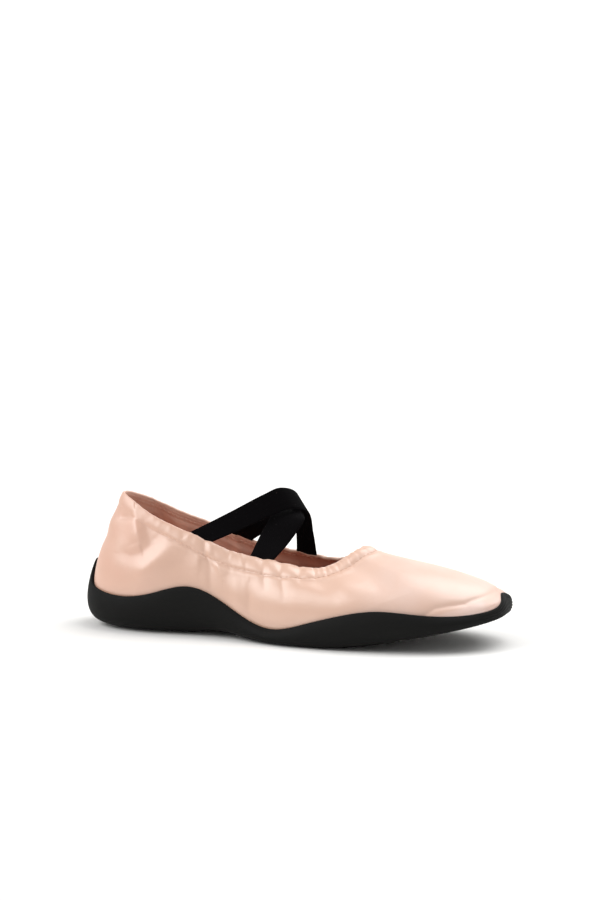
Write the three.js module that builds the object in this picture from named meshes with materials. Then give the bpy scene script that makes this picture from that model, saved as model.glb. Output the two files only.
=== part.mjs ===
// Ballet flat for the right foot: a gathered satin upper on a wave-edged rubber cup sole,
// with an insole and two elastic straps that cross over the instep.
// Millimetres, +Z up, toe towards +X, inner side of the foot towards +Y.
// The origin is on the floor, under the middle of the part's box.
import * as THREE from "three";

// Driving dimensions
const LAST_LENGTH = 248.5;
const BALL_WIDTH = 83;
const WALL = 1.6;
const GAP = 0.3;

// Sole
const TOE_SPRING = 17;
const TOE_SPRING_START = 150;
const TOE_SPRING_POWER = 1.36;
const HEEL_BEVEL = 2;
const HEEL_BEVEL_LENGTH = 22;
const ARCH_START = 62;
const ARCH_END = 110;
const ARCH_OUTER = 1.5;
const ARCH_INNER = 3;
const TREAD_STEP = 0.8;
const HEEL_TREAD = { from: 12, to: 74 };
const FOREFOOT_TREAD = { from: 98, to: 196 };
const HEEL_SEAT = 13;
const FOREFOOT_SEAT = 5.5;
const TOE_SEAT = 3.5;
const SEAT_FALL = { from: 0.12 * LAST_LENGTH, to: 0.47 * LAST_LENGTH };
const TOE_THINNED = 0.95 * LAST_LENGTH;
const LIP = 1.7;
const LIP_ROUND = 0.5;

// Insole
const INSOLE_THICKNESS = 2.4;
const INSOLE_CLEARANCE = 0.6;
const INSOLE_ROUND = 0.8;

// Upper
const TURN_IN = 1.6;
const CASING_WIDTH = 7.5;
const CASING_RISE = 0.9;
const COLLAR_ROUND = 0.5;

// Straps: flat bands over the instep, sewn inside the collar
const STRAP_THICKNESS = 1.2;
const STRAP_CLEARANCE = 0.5;
const STRAP_SEWN = 1;
const STRAP_STEPS = 30;

const STEPS_PER_SECTION = 4;

// Sections of the foot, from the heel's back to the toe's tip.
// along is in percent of the last's length, outer and inner are half-widths in percent of the ball's width,
// at the sole's edge. edge is the height of that wavy edge. bulge is how far the sole's side is drawn out
// beyond it, and tuck how far the tread's rim lies inside it.
const FOOT = table("along outer inner edge bulge tuck", [
  ["heel back", 0, 0, 0, 36.5, 5.2, 9],
  ["heel tab", 0.5, 9.6, 9.6, 28, 5.2, 9],
  ["heel curve", 3.2, 21.7, 21.7, 22, 5.2, 9],
  ["heel side", 9.7, 31.9, 31.3, 20, 5.2, 9],
  ["heel front", 17.7, 35.5, 34.3, 22.7, 5.2, 9],
  ["arch", 26.6, 35.5, 33.1, 28.2, 5.2, 10],
  ["shank", 35.8, 37.3, 32.5, 21.1, 5.2, 10],
  ["waist", 42.7, 42.4, 35.5, 12, 5.2, 6],
  ["dip", 48.3, 47, 39.2, 8.5, 5.2, 2],
  ["middle", 56.7, 50.8, 44.6, 12.9, 5.4, 0.5],
  ["ball", 66, 52.2, 48.2, 19.3, 5.4, 0.5],
  ["joint", 75.3, 50.6, 48.2, 22.6, 5, 1],
  ["small toe", 84.1, 45.8, 44, 21.1, 4.6, 1.5],
  ["toe side", 90.9, 38, 37.3, 20.5, 4, 2],
  ["toe corner", 96.2, 26.5, 27.7, 21.6, 2.4, 2.5],
  ["toe front", 99.1, 13.3, 16.3, 24.4, 1.2, 2.5],
  ["toe tip", 100, -1.8, 1.8, 29.2, 0.6, 3],
]);

// The upper's wall at the same sections. flare and rise bulge its lower part.
// collarAlong, collarAcross and collarUp place its top edge, and reach and drop shape the wall just under it:
// its share of the way out to the bulge, and its height below the edge.
const WALLS = table("flare rise collarAlong collarAcross collarUp reach drop", [
  ["heel back", 3.2, 17, 7.1, 0, 76.5, 0.47, 23],
  ["heel tab", 3.2, 17, 7.8, 5.4, 76, 0.47, 22.5],
  ["heel curve", 3, 17, 9.9, 10.8, 74, 0.48, 21.5],
  ["heel side", 3, 17, 14.1, 17.5, 69, 0.55, 19],
  ["heel front", 2.6, 17, 20.1, 21.4, 62.5, 0.6, 17],
  ["arch", 2.4, 17, 27.8, 23.5, 56, 0.64, 15],
  ["shank", 2.4, 17, 35.4, 24.1, 49, 0.68, 12],
  ["waist", 2.4, 17, 41, 24.3, 46, 0.7, 10],
  ["dip", 2.4, 17, 46.3, 24.3, 44, 0.72, 9],
  ["middle", 2.6, 18, 52.3, 23.9, 41.6, 0.72, 7],
  ["ball", 2.8, 19, 56.9, 21.2, 41, 0.7, 5.5],
  ["joint", 2.8, 19, 60, 17.6, 43.8, 0.66, 5.5],
  ["small toe", 2.6, 18, 62.2, 13.5, 47.5, 0.6, 7],
  ["toe side", 2.2, 17, 63.8, 9.4, 50.2, 0.55, 9],
  ["toe corner", 1.6, 17, 64.9, 5.5, 51.6, 0.5, 11],
  ["toe front", 1, 17, 65.6, 2.7, 52.1, 0.48, 12],
  ["toe tip", 0.7, 17, 65.8, 0, 52.2, 0.47, 12.2],
]);

// The two edges of each strap. outerEnd and innerEnd are sections of the collar, which count on from the tip
// along the inner side. The points between them are measured from the heel's back, the midline and the floor:
// the leg up from the outer side, the knee, the crest, the shoulder over the instep's inner side,
// and the leg down.
const STRAP_OVER = {
  rear: {
    outerEnd: 4.76,
    over: [[87.5, -11.5, 70], [105.5, -6, 80], [113.5, -1, 83.5], [120, 9, 79], [118, 15, 56.5]],
    innerEnd: 23.9,
  },
  front: {
    outerEnd: 5.45,
    over: [[96, -11.5, 61], [110.5, -6, 68], [120.5, 0, 71.5], [127.5, 9, 67.5], [128.5, 15, 55.5]],
    innerEnd: 23.07,
  },
};
const STRAP_UNDER = {
  rear: {
    outerEnd: 7,
    over: [[104.5, -9.5, 57], [108.5, -1.5, 67.5], [108, 6, 72], [102.5, 10.5, 69], [89, 13.5, 59]],
    innerEnd: 26.6,
  },
  front: {
    outerEnd: 8,
    over: [[121.5, -9.5, 53], [128.5, -3, 65.5], [127, 1.5, 67.5], [117.5, 7, 71.8], [103.5, 13, 58]],
    innerEnd: 25.9,
  },
};

function table(columns, rows) {
  const names = columns.split(" ");
  return rows.map(([name, ...values]) => {
    const row = { name };
    names.forEach((column, k) => (row[column] = values[k]));
    return row;
  });
}

// A smooth closed curve through values at rising knots, where the last piece leads back to the first.
function closedSpline(knots, period, values) {
  const n = values.length;
  const span = (i) => (i === n - 1 ? period : knots[i + 1]) - knots[i];
  const slope = (i) => (values[(i + 1) % n] - values[i]) / span(i);
  const bend = new Array(n).fill(0);
  const SWEEPS = 60;
  for (let sweep = 0; sweep < SWEEPS; sweep++) {
    for (let i = 0; i < n; i++) {
      const before = (i + n - 1) % n;
      const pull = span(before) * bend[before] + span(i) * bend[(i + 1) % n];
      bend[i] = (6 * (slope(i) - slope(before)) - pull) / (2 * (span(before) + span(i)));
    }
  }
  return (u) => {
    const at = ((u % period) + period) % period;
    let i = n - 1;
    while (knots[i] > at) i--;
    const h = span(i);
    const b = (at - knots[i]) / h;
    const a = 1 - b;
    const next = (i + 1) % n;
    const curve = ((a ** 3 - a) * bend[i] + (b ** 3 - b) * bend[next]) * (h * h) / 6;
    return a * values[i] + b * values[next] + curve;
  };
}

// The sections in one round: out along the outer side to the toe, and back along the inner side
const TOE = FOOT.length - 1;
const ROUND = [];
for (let k = 0; k < 2 * TOE; k++) {
  const onOuter = k <= TOE;
  const row = onOuter ? k : 2 * TOE - k;
  const foot = FOOT[row];
  const wall = WALLS[row];
  const side = onOuter ? -1 : 1;
  ROUND.push({
    ...foot,
    ...wall,
    x: (foot.along / 100) * LAST_LENGTH,
    y: (side * (onOuter ? foot.outer : foot.inner) * BALL_WIDTH) / 100,
    collarX: (wall.collarAlong / 100) * LAST_LENGTH,
    collarY: (side * wall.collarAcross * BALL_WIDTH) / 100,
  });
}

// Their values as functions of the distance round the shoe
const knots = [0];
for (let k = 1; k <= ROUND.length; k++) {
  const a = ROUND[k - 1];
  const b = ROUND[k % ROUND.length];
  knots.push(knots[k - 1] + Math.hypot(b.x - a.x, b.y - a.y));
}
const girth = knots.pop();
const at = {};
for (const name of "x y edge bulge tuck flare rise collarX collarY collarUp reach drop".split(" ")) {
  at[name] = closedSpline(knots, girth, ROUND.map((row) => row[name]));
}

// The distance round the shoe at a section number, which may have a fraction
function distanceAt(section) {
  const k = Math.floor(section) % ROUND.length;
  const next = k + 1 < ROUND.length ? knots[k + 1] : girth;
  return THREE.MathUtils.lerp(knots[k], next, section - Math.floor(section));
}

const STATIONS = ROUND.length * STEPS_PER_SECTION;
const TOE_STATION = STATIONS / 2;
const stationDistance = [];
for (let i = 0; i < STATIONS; i++) stationDistance.push(distanceAt(i / STEPS_PER_SECTION));

// Heights along the sole
function toeSpring(x) {
  const share = Math.max(0, (x - TOE_SPRING_START) / (LAST_LENGTH - TOE_SPRING_START));
  return TOE_SPRING * share ** TOE_SPRING_POWER;
}

function heelBevel(x) {
  return HEEL_BEVEL * Math.max(0, 1 - x / HEEL_BEVEL_LENGTH) ** 2;
}

function archRise(x, towardsInner) {
  const share = THREE.MathUtils.clamp((x - ARCH_START) / (ARCH_END - ARCH_START), 0, 1);
  return THREE.MathUtils.lerp(ARCH_OUTER, ARCH_INNER, towardsInner) * Math.sin(Math.PI * share) ** 2;
}

function treadZ(x, towardsInner) {
  return toeSpring(x) + heelBevel(x) + archRise(x, towardsInner);
}

function seatZ(x) {
  const heelToBall = THREE.MathUtils.smoothstep(x, SEAT_FALL.from, SEAT_FALL.to);
  const ballToToe = THREE.MathUtils.smoothstep(x, TOE_SPRING_START, TOE_THINNED);
  const thickness = THREE.MathUtils.lerp(HEEL_SEAT, FOREFOOT_SEAT, heelToBall);
  return thickness - (FOREFOOT_SEAT - TOE_SEAT) * ballToToe + toeSpring(x);
}

// The plan outline at the sole's edge, and its outward direction
function outlineAt(u) {
  return new THREE.Vector3(at.x(u), at.y(u), 0);
}

function outwardAt(u) {
  const STEP = 0.5;
  const run = outlineAt(u + STEP).sub(outlineAt(u - STEP)).normalize();
  return new THREE.Vector3(run.y, -run.x, 0);
}

// The upper's outer wall at a distance round the shoe, as one curve from its foot up to the collar
function wallCurve(u) {
  const outward = outwardAt(u);
  const outline = outlineAt(u);
  const foot = outline.clone().addScaledVector(outward, -TURN_IN);
  foot.z = seatZ(foot.x) + GAP;
  const bulge = outline.clone().addScaledVector(outward, at.flare(u));
  bulge.z = foot.z + at.rise(u);
  const collar = new THREE.Vector3(at.collarX(u), at.collarY(u), at.collarUp(u));
  const shoulder = collar.clone().lerp(bulge, at.reach(u));
  shoulder.z = collar.z - at.drop(u);
  return new THREE.CubicBezierCurve3(foot, bulge, shoulder, collar);
}

// The wall's outward normal at a share of its curve
function wallNormal(u, share) {
  const STEP_ROUND = 0.5;
  const STEP_UP = 0.01;
  const low = Math.max(0, share - STEP_UP);
  const high = Math.min(1, share + STEP_UP);
  const up = wallCurve(u).getPoint(high).sub(wallCurve(u).getPoint(low));
  const ahead = wallCurve(u + STEP_ROUND).getPoint(share);
  const behind = wallCurve(u - STEP_ROUND).getPoint(share);
  return ahead.sub(behind).cross(up).normalize();
}

// The share of the wall's curve that lies a length below the collar
function shareBelowCollar(curve, below) {
  const SAMPLES = 60;
  let length = 0;
  let last = curve.getPoint(1);
  for (let k = 1; k <= SAMPLES; k++) {
    const share = 1 - k / SAMPLES;
    const point = curve.getPoint(share);
    const step = point.distanceTo(last);
    if (length + step >= below) return share + (1 - (below - length) / step) / SAMPLES;
    length += step;
    last = point;
  }
  return 0;
}

// The share of the wall's curve that lies at a height
function shareAtHeight(curve, z) {
  const HALVINGS = 24;
  let low = 0;
  let high = 1;
  for (let k = 0; k < HALVINGS; k++) {
    const half = (low + high) / 2;
    if (curve.getPoint(half).z < z) low = half;
    else high = half;
  }
  return low;
}

// A surface collected point by point and closed into one solid
class Skin {
  points = [];
  faces = [];

  add(point) {
    this.points.push(point.x, point.y, point.z);
    return this.points.length / 3 - 1;
  }

  face(a, b, c) {
    if (a !== b && b !== c && c !== a) this.faces.push(a, b, c);
  }

  // Quads between two rows of points
  strip(row, next) {
    for (let k = 0; k + 1 < row.length; k++) {
      this.face(row[k], next[k], next[k + 1]);
      this.face(row[k], next[k + 1], row[k + 1]);
    }
  }

  // Rows that follow one another and close into a ring
  ring(rows) {
    rows.forEach((row, i) => this.strip(row, rows[(i + 1) % rows.length]));
  }

  // A lid across a ring of edge points: each station is joined to the one facing it on the other side.
  // heightAt gives the height of the lid's points between, at shares of the way across.
  lid(edge, shares, heightAt, facesUp) {
    const rows = [];
    for (let i = 0; i <= TOE_STATION; i++) {
      const outer = edge[i];
      const inner = edge[(STATIONS - i) % STATIONS];
      const between = shares.map((share) => {
        if (outer === inner) return outer.index;
        const point = outer.point.clone().lerp(inner.point, share);
        point.z = heightAt(point, share);
        return this.add(point);
      });
      rows.push([outer.index, ...between, inner.index]);
    }
    for (let i = 0; i < TOE_STATION; i++) {
      if (facesUp) this.strip(rows[i], rows[i + 1]);
      else this.strip(rows[i + 1], rows[i]);
    }
  }

  geometry() {
    const made = new THREE.BufferGeometry();
    made.setAttribute("position", new THREE.Float32BufferAttribute(this.points, 3));
    made.setIndex(this.faces);
    made.computeVertexNormals();
    return made;
  }
}

// One hollow wall, open at the collar and underneath. Its top is thicker: the casing of the elastic.
function upperGeometry() {
  const LOWER_SHARES = [0, 0.13, 0.28, 0.44, 0.6, 0.76, 0.9];
  const CASING_ROWS = [
    { below: CASING_WIDTH + 1, rise: 0 },
    { below: CASING_WIDTH, rise: 0.7 * CASING_RISE },
    { below: CASING_WIDTH / 2, rise: CASING_RISE },
    { below: COLLAR_ROUND, rise: 0.6 * CASING_RISE },
  ];
  const INNER_SHARES = [1, 0.9, 0.72, 0.5, 0.3, 0.14, 0];
  const skin = new Skin();
  const rows = stationDistance.map((u) => {
    const curve = wallCurve(u);
    const casingFoot = shareBelowCollar(curve, CASING_WIDTH + 1);
    const innerTop = shareBelowCollar(curve, COLLAR_ROUND);
    const row = [];
    const addPoint = (share, out) => {
      row.push(skin.add(curve.getPoint(share).addScaledVector(wallNormal(u, share), out)));
    };
    LOWER_SHARES.forEach((share) => addPoint(share * casingFoot, 0));
    CASING_ROWS.forEach(({ below, rise }) => addPoint(shareBelowCollar(curve, below), rise));
    addPoint(1, -WALL / 2);
    INNER_SHARES.forEach((share) => addPoint(share * innerTop, -WALL));
    return [...row, row[0]];
  });
  skin.ring(rows);
  return skin.geometry();
}

// The cup sole: a stepped tread, a bulging side, a thin wavy lip and an inner wall that follows the upper
function soleGeometry() {
  const INNER_STEPS = 3;
  const SIDE_STEPS = 6;
  const BELLY_SHARE = 0.4;
  const PAD_RIM = 0.012;
  const TREAD_SHARES = [0.006, 0.02, 0.5, 0.98, 0.994];
  const skin = new Skin();
  const seatEdge = [];
  const treadEdge = [];
  const rows = stationDistance.map((u) => {
    const outward = outwardAt(u);
    const outline = outlineAt(u);
    const curve = wallCurve(u);
    const lipShare = shareAtHeight(curve, at.edge(u));
    const row = [];
    const addPoint = (point) => {
      row.push(skin.add(point));
      return { point, index: row[row.length - 1] };
    };
    const tread = outline.clone().addScaledVector(outward, -TURN_IN - at.tuck(u));
    tread.z = treadZ(tread.x, tread.y > 0 ? 1 : 0) + TREAD_STEP;
    const lip = curve.getPoint(lipShare).addScaledVector(outward, GAP + LIP);
    const belly = outline.clone().addScaledVector(outward, at.bulge(u));
    const bellyFoot = belly.clone().setZ(tread.z);
    const bellyTop = belly.clone().setZ(THREE.MathUtils.lerp(lip.z, tread.z, BELLY_SHARE));
    const side = new THREE.CubicBezierCurve3(tread, bellyFoot, bellyTop, lip);
    treadEdge.push(addPoint(tread));
    for (let k = 1; k <= SIDE_STEPS; k++) addPoint(side.getPoint(k / SIDE_STEPS));
    const lipTop = lip.clone().addScaledVector(outward, -LIP / 2);
    lipTop.z += LIP_ROUND;
    addPoint(lipTop);
    for (let k = INNER_STEPS; k > 0; k--) {
      addPoint(curve.getPoint((lipShare * k) / INNER_STEPS).addScaledVector(outward, GAP));
    }
    const seat = curve.getPoint(0).addScaledVector(outward, GAP);
    seat.z = seatZ(seat.x);
    seatEdge.push(addPoint(seat));
    return row;
  });
  skin.ring(rows);
  skin.lid(seatEdge, [0.5], (point) => seatZ(point.x), true);
  const within = (x, tread) => x > tread.from && x < tread.to;
  const treadHeight = ({ x }, share) => {
    const padded = within(x, HEEL_TREAD) || within(x, FOREFOOT_TREAD);
    const onPad = padded && share > PAD_RIM && share < 1 - PAD_RIM;
    return treadZ(x, share) + (onPad ? 0 : TREAD_STEP);
  };
  skin.lid(treadEdge, TREAD_SHARES, treadHeight, false);
  return skin.geometry();
}

// The footbed inside the upper
function insoleGeometry() {
  const skin = new Skin();
  const under = [];
  const over = [];
  const inset = -TURN_IN - WALL - INSOLE_CLEARANCE;
  const rows = stationDistance.map((u) => {
    const row = [];
    const addPoint = (out, lift) => {
      const point = outlineAt(u).addScaledVector(outwardAt(u), out);
      point.z = seatZ(point.x) + GAP + lift;
      row.push(skin.add(point));
      return { point, index: row[row.length - 1] };
    };
    under.push(addPoint(inset, 0));
    addPoint(inset, INSOLE_THICKNESS - INSOLE_ROUND);
    over.push(addPoint(inset - INSOLE_ROUND, INSOLE_THICKNESS));
    return row;
  });
  skin.ring(rows);
  skin.lid(over, [0.5], (point) => seatZ(point.x) + GAP + INSOLE_THICKNESS, true);
  skin.lid(under, [0.5], (point) => seatZ(point.x) + GAP, false);
  return skin.geometry();
}

// A point just inside the upper's wall, where a strap is sewn
function sewnPoint(section, below) {
  const u = distanceAt(section);
  const curve = wallCurve(u);
  const share = shareBelowCollar(curve, below);
  const inwards = -(WALL + STRAP_CLEARANCE + STRAP_THICKNESS / 2);
  return curve.getPoint(share).addScaledVector(wallNormal(u, share), inwards);
}

// Points of one edge of a strap: from inside the collar over the instep to the other side
function strapEdge({ outerEnd, over, innerEnd }) {
  const between = over.map(([x, y, z]) => new THREE.Vector3(x, y, z));
  const arch = new THREE.CatmullRomCurve3([sewnPoint(outerEnd, 0), ...between, sewnPoint(innerEnd, 0)]);
  const sewn = [outerEnd, innerEnd].map((section) => sewnPoint(section, STRAP_SEWN));
  return [sewn[0], ...arch.getPoints(STRAP_STEPS), sewn[1]];
}

// A flat band between its two edges
function strapGeometry(edges) {
  const rear = strapEdge(edges.rear);
  const front = strapEdge(edges.front);
  const skin = new Skin();
  const last = rear.length - 1;
  const rows = rear.map((rearPoint, k) => {
    const before = Math.max(k - 1, 0);
    const after = Math.min(k + 1, last);
    const run = rear[after].clone().sub(rear[before]).add(front[after]).sub(front[before]);
    const out = front[k].clone().sub(rearPoint).cross(run).normalize();
    const corner = (point, level) => {
      return skin.add(point.clone().addScaledVector(out, (level * STRAP_THICKNESS) / 2));
    };
    return [corner(rearPoint, -1), corner(front[k], -1), corner(front[k], 1), corner(rearPoint, 1)];
  });
  for (let k = 0; k < last; k++) {
    skin.strip([...rows[k], rows[k][0]], [...rows[k + 1], rows[k + 1][0]]);
  }
  const [a, b, c, d] = rows[0];
  skin.strip([a, d], [b, c]);
  const [e, f, g, h] = rows[last];
  skin.strip([e, f], [h, g]);
  return skin.geometry();
}

// Finishes
const satin = new THREE.MeshStandardMaterial({ color: "#e6c4b0", roughness: 0.35, metalness: 0 });
const rubber = new THREE.MeshStandardMaterial({ color: "#1d1c1b", roughness: 0.6, metalness: 0 });
const lining = new THREE.MeshStandardMaterial({ color: "#a8705f", roughness: 0.7, metalness: 0 });
const elastic = new THREE.MeshStandardMaterial({ color: "#0d0c0e", roughness: 0.85, metalness: 0 });

const shoe = new THREE.Group();
function addPiece(name, geometry, material) {
  const piece = new THREE.Mesh(geometry, material);
  piece.name = name;
  shoe.add(piece);
}

addPiece("cup_sole", soleGeometry(), rubber);
addPiece("upper", upperGeometry(), satin);
addPiece("insole", insoleGeometry(), lining);
addPiece("strap_over", strapGeometry(STRAP_OVER), elastic);
addPiece("strap_under", strapGeometry(STRAP_UNDER), elastic);

// The origin goes to the middle of the box, on the floor
const box = new THREE.Box3().setFromObject(shoe);
const middle = box.getCenter(new THREE.Vector3());
shoe.children.forEach((piece) => piece.position.set(-middle.x, -middle.y, -box.min.z));

export default shoe;
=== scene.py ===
"""Ballet flat: a gathered satin upper on a wave-edged rubber cup sole, with crossing elastic straps."""

import math

import bpy
import numpy as np
from bpy.props import FloatProperty, FloatVectorProperty, PointerProperty
from mathutils import Matrix, Vector


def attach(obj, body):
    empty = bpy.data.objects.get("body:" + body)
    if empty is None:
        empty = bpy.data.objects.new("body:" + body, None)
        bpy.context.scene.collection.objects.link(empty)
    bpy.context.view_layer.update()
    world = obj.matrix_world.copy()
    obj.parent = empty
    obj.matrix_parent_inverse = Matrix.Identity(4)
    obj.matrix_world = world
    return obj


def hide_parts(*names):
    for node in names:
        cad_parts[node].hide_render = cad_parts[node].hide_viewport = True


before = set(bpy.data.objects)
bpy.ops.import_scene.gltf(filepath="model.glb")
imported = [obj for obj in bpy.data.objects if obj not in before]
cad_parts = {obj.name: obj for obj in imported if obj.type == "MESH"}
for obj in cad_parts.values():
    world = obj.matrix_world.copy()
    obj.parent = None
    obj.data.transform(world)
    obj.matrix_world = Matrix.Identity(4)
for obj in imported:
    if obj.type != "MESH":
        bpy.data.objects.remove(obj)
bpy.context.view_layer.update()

bl_info = {
    "name": "Ballet Flat",
    "version": (1, 0, 0),
    "blender": (4, 5, 0),
    "location": "View3D > Sidebar > Ballet Flat",
    "description": "Builds a satin ballet flat with a rubber cup sole and crossing elastic straps",
    "category": "Add Mesh",
}

MM = 0.001
BODY = "root"

# The heel's back on the midline, in the part's frame, in millimetres
LAST_ORIGIN = np.array([-122.459, 1.531, 0.0])

# Sole, in millimetres from the heel's back or as heights
TOE_SPRING = 17
TOE_SPRING_START = 150
TOE_SPRING_POWER = 1.36
HEEL_BEVEL = 2
HEEL_BEVEL_LENGTH = 22
ARCH_START = 62
ARCH_END = 110
ARCH_OUTER = 1.5
ARCH_INNER = 3
TREAD_STEP = 0.8
TREAD_PADS = ((12, 74), (98, 196))
HEEL_SEAT = 13
FOREFOOT_SEAT = 5.5
TOE_SEAT = 3.5
SEAT_FALL = (0.12, 0.47)
TOE_THINNED = 0.95
LIP = 1.7
GAP = 0.3
BELLY_SHARE = 0.4

# Insole and upper
INSOLE_THICKNESS = 2.4
INSOLE_CLEARANCE = 0.6
TURN_IN = 1.6


def table(columns, rows):
    """A table as one array for each named column. The first entry of a row is its name."""
    values = np.array([row[1:] for row in rows], float)
    return {name: values[:, k] for k, name in enumerate(columns.split())}


# Sections of the foot, from the heel's back to the toe's tip.
# along is in percent of the last's length, outer and inner are half-widths in percent of the ball's width,
# at the sole's edge. edge is the height of that wavy edge. bulge is how far the sole's side is drawn out
# beyond it, and tuck how far the tread's rim lies inside it.
FOOT = table("along outer inner edge bulge tuck", [
    ("heel back", 0, 0, 0, 36.5, 5.2, 9),
    ("heel tab", 0.5, 9.6, 9.6, 28, 5.2, 9),
    ("heel curve", 3.2, 21.7, 21.7, 22, 5.2, 9),
    ("heel side", 9.7, 31.9, 31.3, 20, 5.2, 9),
    ("heel front", 17.7, 35.5, 34.3, 22.7, 5.2, 9),
    ("arch", 26.6, 35.5, 33.1, 28.2, 5.2, 10),
    ("shank", 35.8, 37.3, 32.5, 21.1, 5.2, 10),
    ("waist", 42.7, 42.4, 35.5, 12, 5.2, 6),
    ("dip", 48.3, 47, 39.2, 8.5, 5.2, 2),
    ("middle", 56.7, 50.8, 44.6, 12.9, 5.4, 0.5),
    ("ball", 66, 52.2, 48.2, 19.3, 5.4, 0.5),
    ("joint", 75.3, 50.6, 48.2, 22.6, 5, 1),
    ("small toe", 84.1, 45.8, 44, 21.1, 4.6, 1.5),
    ("toe side", 90.9, 38, 37.3, 20.5, 4, 2),
    ("toe corner", 96.2, 26.5, 27.7, 21.6, 2.4, 2.5),
    ("toe front", 99.1, 13.3, 16.3, 24.4, 1.2, 2.5),
    ("toe tip", 100, -1.8, 1.8, 29.2, 0.6, 3),
])

# The upper's wall at the same sections. flare and rise bulge its lower part. collar_along, collar_across and
# collar_up place its top edge. reach and drop shape the wall just under that edge: its share of the way out
# to the bulge, and its height below the edge.
WALLS = table("flare rise collar_along collar_across collar_up reach drop", [
    ("heel back", 3.2, 17, 7.1, 0, 76.5, 0.47, 23),
    ("heel tab", 3.2, 17, 7.8, 5.4, 76, 0.47, 22.5),
    ("heel curve", 3, 17, 9.9, 10.8, 74, 0.48, 21.5),
    ("heel side", 3, 17, 14.1, 17.5, 69, 0.55, 19),
    ("heel front", 2.6, 17, 20.1, 21.4, 62.5, 0.6, 17),
    ("arch", 2.4, 17, 27.8, 23.5, 56, 0.64, 15),
    ("shank", 2.4, 17, 35.4, 24.1, 49, 0.68, 12),
    ("waist", 2.4, 17, 41, 24.3, 46, 0.7, 10),
    ("dip", 2.4, 17, 46.3, 24.3, 44, 0.72, 9),
    ("middle", 2.6, 18, 52.3, 23.9, 41.6, 0.72, 7),
    ("ball", 2.8, 19, 56.9, 21.2, 41, 0.7, 5.5),
    ("joint", 2.8, 19, 60, 17.6, 43.8, 0.66, 5.5),
    ("small toe", 2.6, 18, 62.2, 13.5, 47.5, 0.6, 7),
    ("toe side", 2.2, 17, 63.8, 9.4, 50.2, 0.55, 9),
    ("toe corner", 1.6, 17, 64.9, 5.5, 51.6, 0.5, 11),
    ("toe front", 1, 17, 65.6, 2.7, 52.1, 0.48, 12),
    ("toe tip", 0.7, 17, 65.8, 0, 52.2, 0.47, 12.2),
])

# The two edges of each strap, rear and front. outer_end and inner_end are sections of the collar, which
# count on from the tip along the inner side. The points between them are measured from the heel's back, the
# midline and the floor: the leg up from the outer side, the knee, the crest, the shoulder over the instep's
# inner side, and the leg down.
STRAPS = {
    "strap_over": (
        dict(outer_end=4.76, inner_end=23.9, over=[
            (87.5, -11.5, 70), (105.5, -6, 80), (113.5, -1, 83.5), (120, 9, 79), (118, 15, 56.5)]),
        dict(outer_end=5.45, inner_end=23.07, over=[
            (96, -11.5, 61), (110.5, -6, 68), (120.5, 0, 71.5), (127.5, 9, 67.5), (128.5, 15, 55.5)]),
    ),
    "strap_under": (
        dict(outer_end=7, inner_end=26.6, over=[
            (104.5, -9.5, 57), (108.5, -1.5, 67.5), (108, 6, 72), (102.5, 10.5, 69), (89, 13.5, 59)]),
        dict(outer_end=8, inner_end=25.9, over=[
            (121.5, -9.5, 53), (128.5, -3, 65.5), (127, 1.5, 67.5), (117.5, 7, 71.8), (103.5, 13, 58)]),
    ),
}

TOE_SECTION = len(FOOT["along"]) - 1
SECTIONS = 2 * TOE_SECTION

# The casing's width at sections of the outer side, as shares of the width that a user sets. The inner side
# is alike.
CASING_SECTIONS = (0, 4, 5.3, 6.5, 8, 9.5, 11, 13, 16)
CASING_SHARES = (0.85, 0.87, 1.05, 1.25, 1.45, 1.45, 1.2, 1.0, 0.93)

# Gathers along the collar's elastic, from one section of the outer side to another. The inner side is alike.
# spacing, depth and reach are in millimetres: the distance between two puckers, their height, and how far
# down the wall they fade out.
GATHERS = [
    dict(start=0.0, end=2.5, spacing=8.0, depth=0.14, reach=7.0),
    dict(start=2.5, end=5.0, spacing=6.5, depth=0.2, reach=9.0),
    dict(start=5.0, end=8.6, spacing=5.0, depth=0.2, reach=12.0),
    dict(start=8.6, end=11.0, spacing=3.6, depth=0.16, reach=9.0),
    dict(start=11.0, end=15.0, spacing=2.6, depth=0.16, reach=6.0),
    dict(start=15.0, end=16.0, spacing=2.4, depth=0.14, reach=5.0),
]

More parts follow.
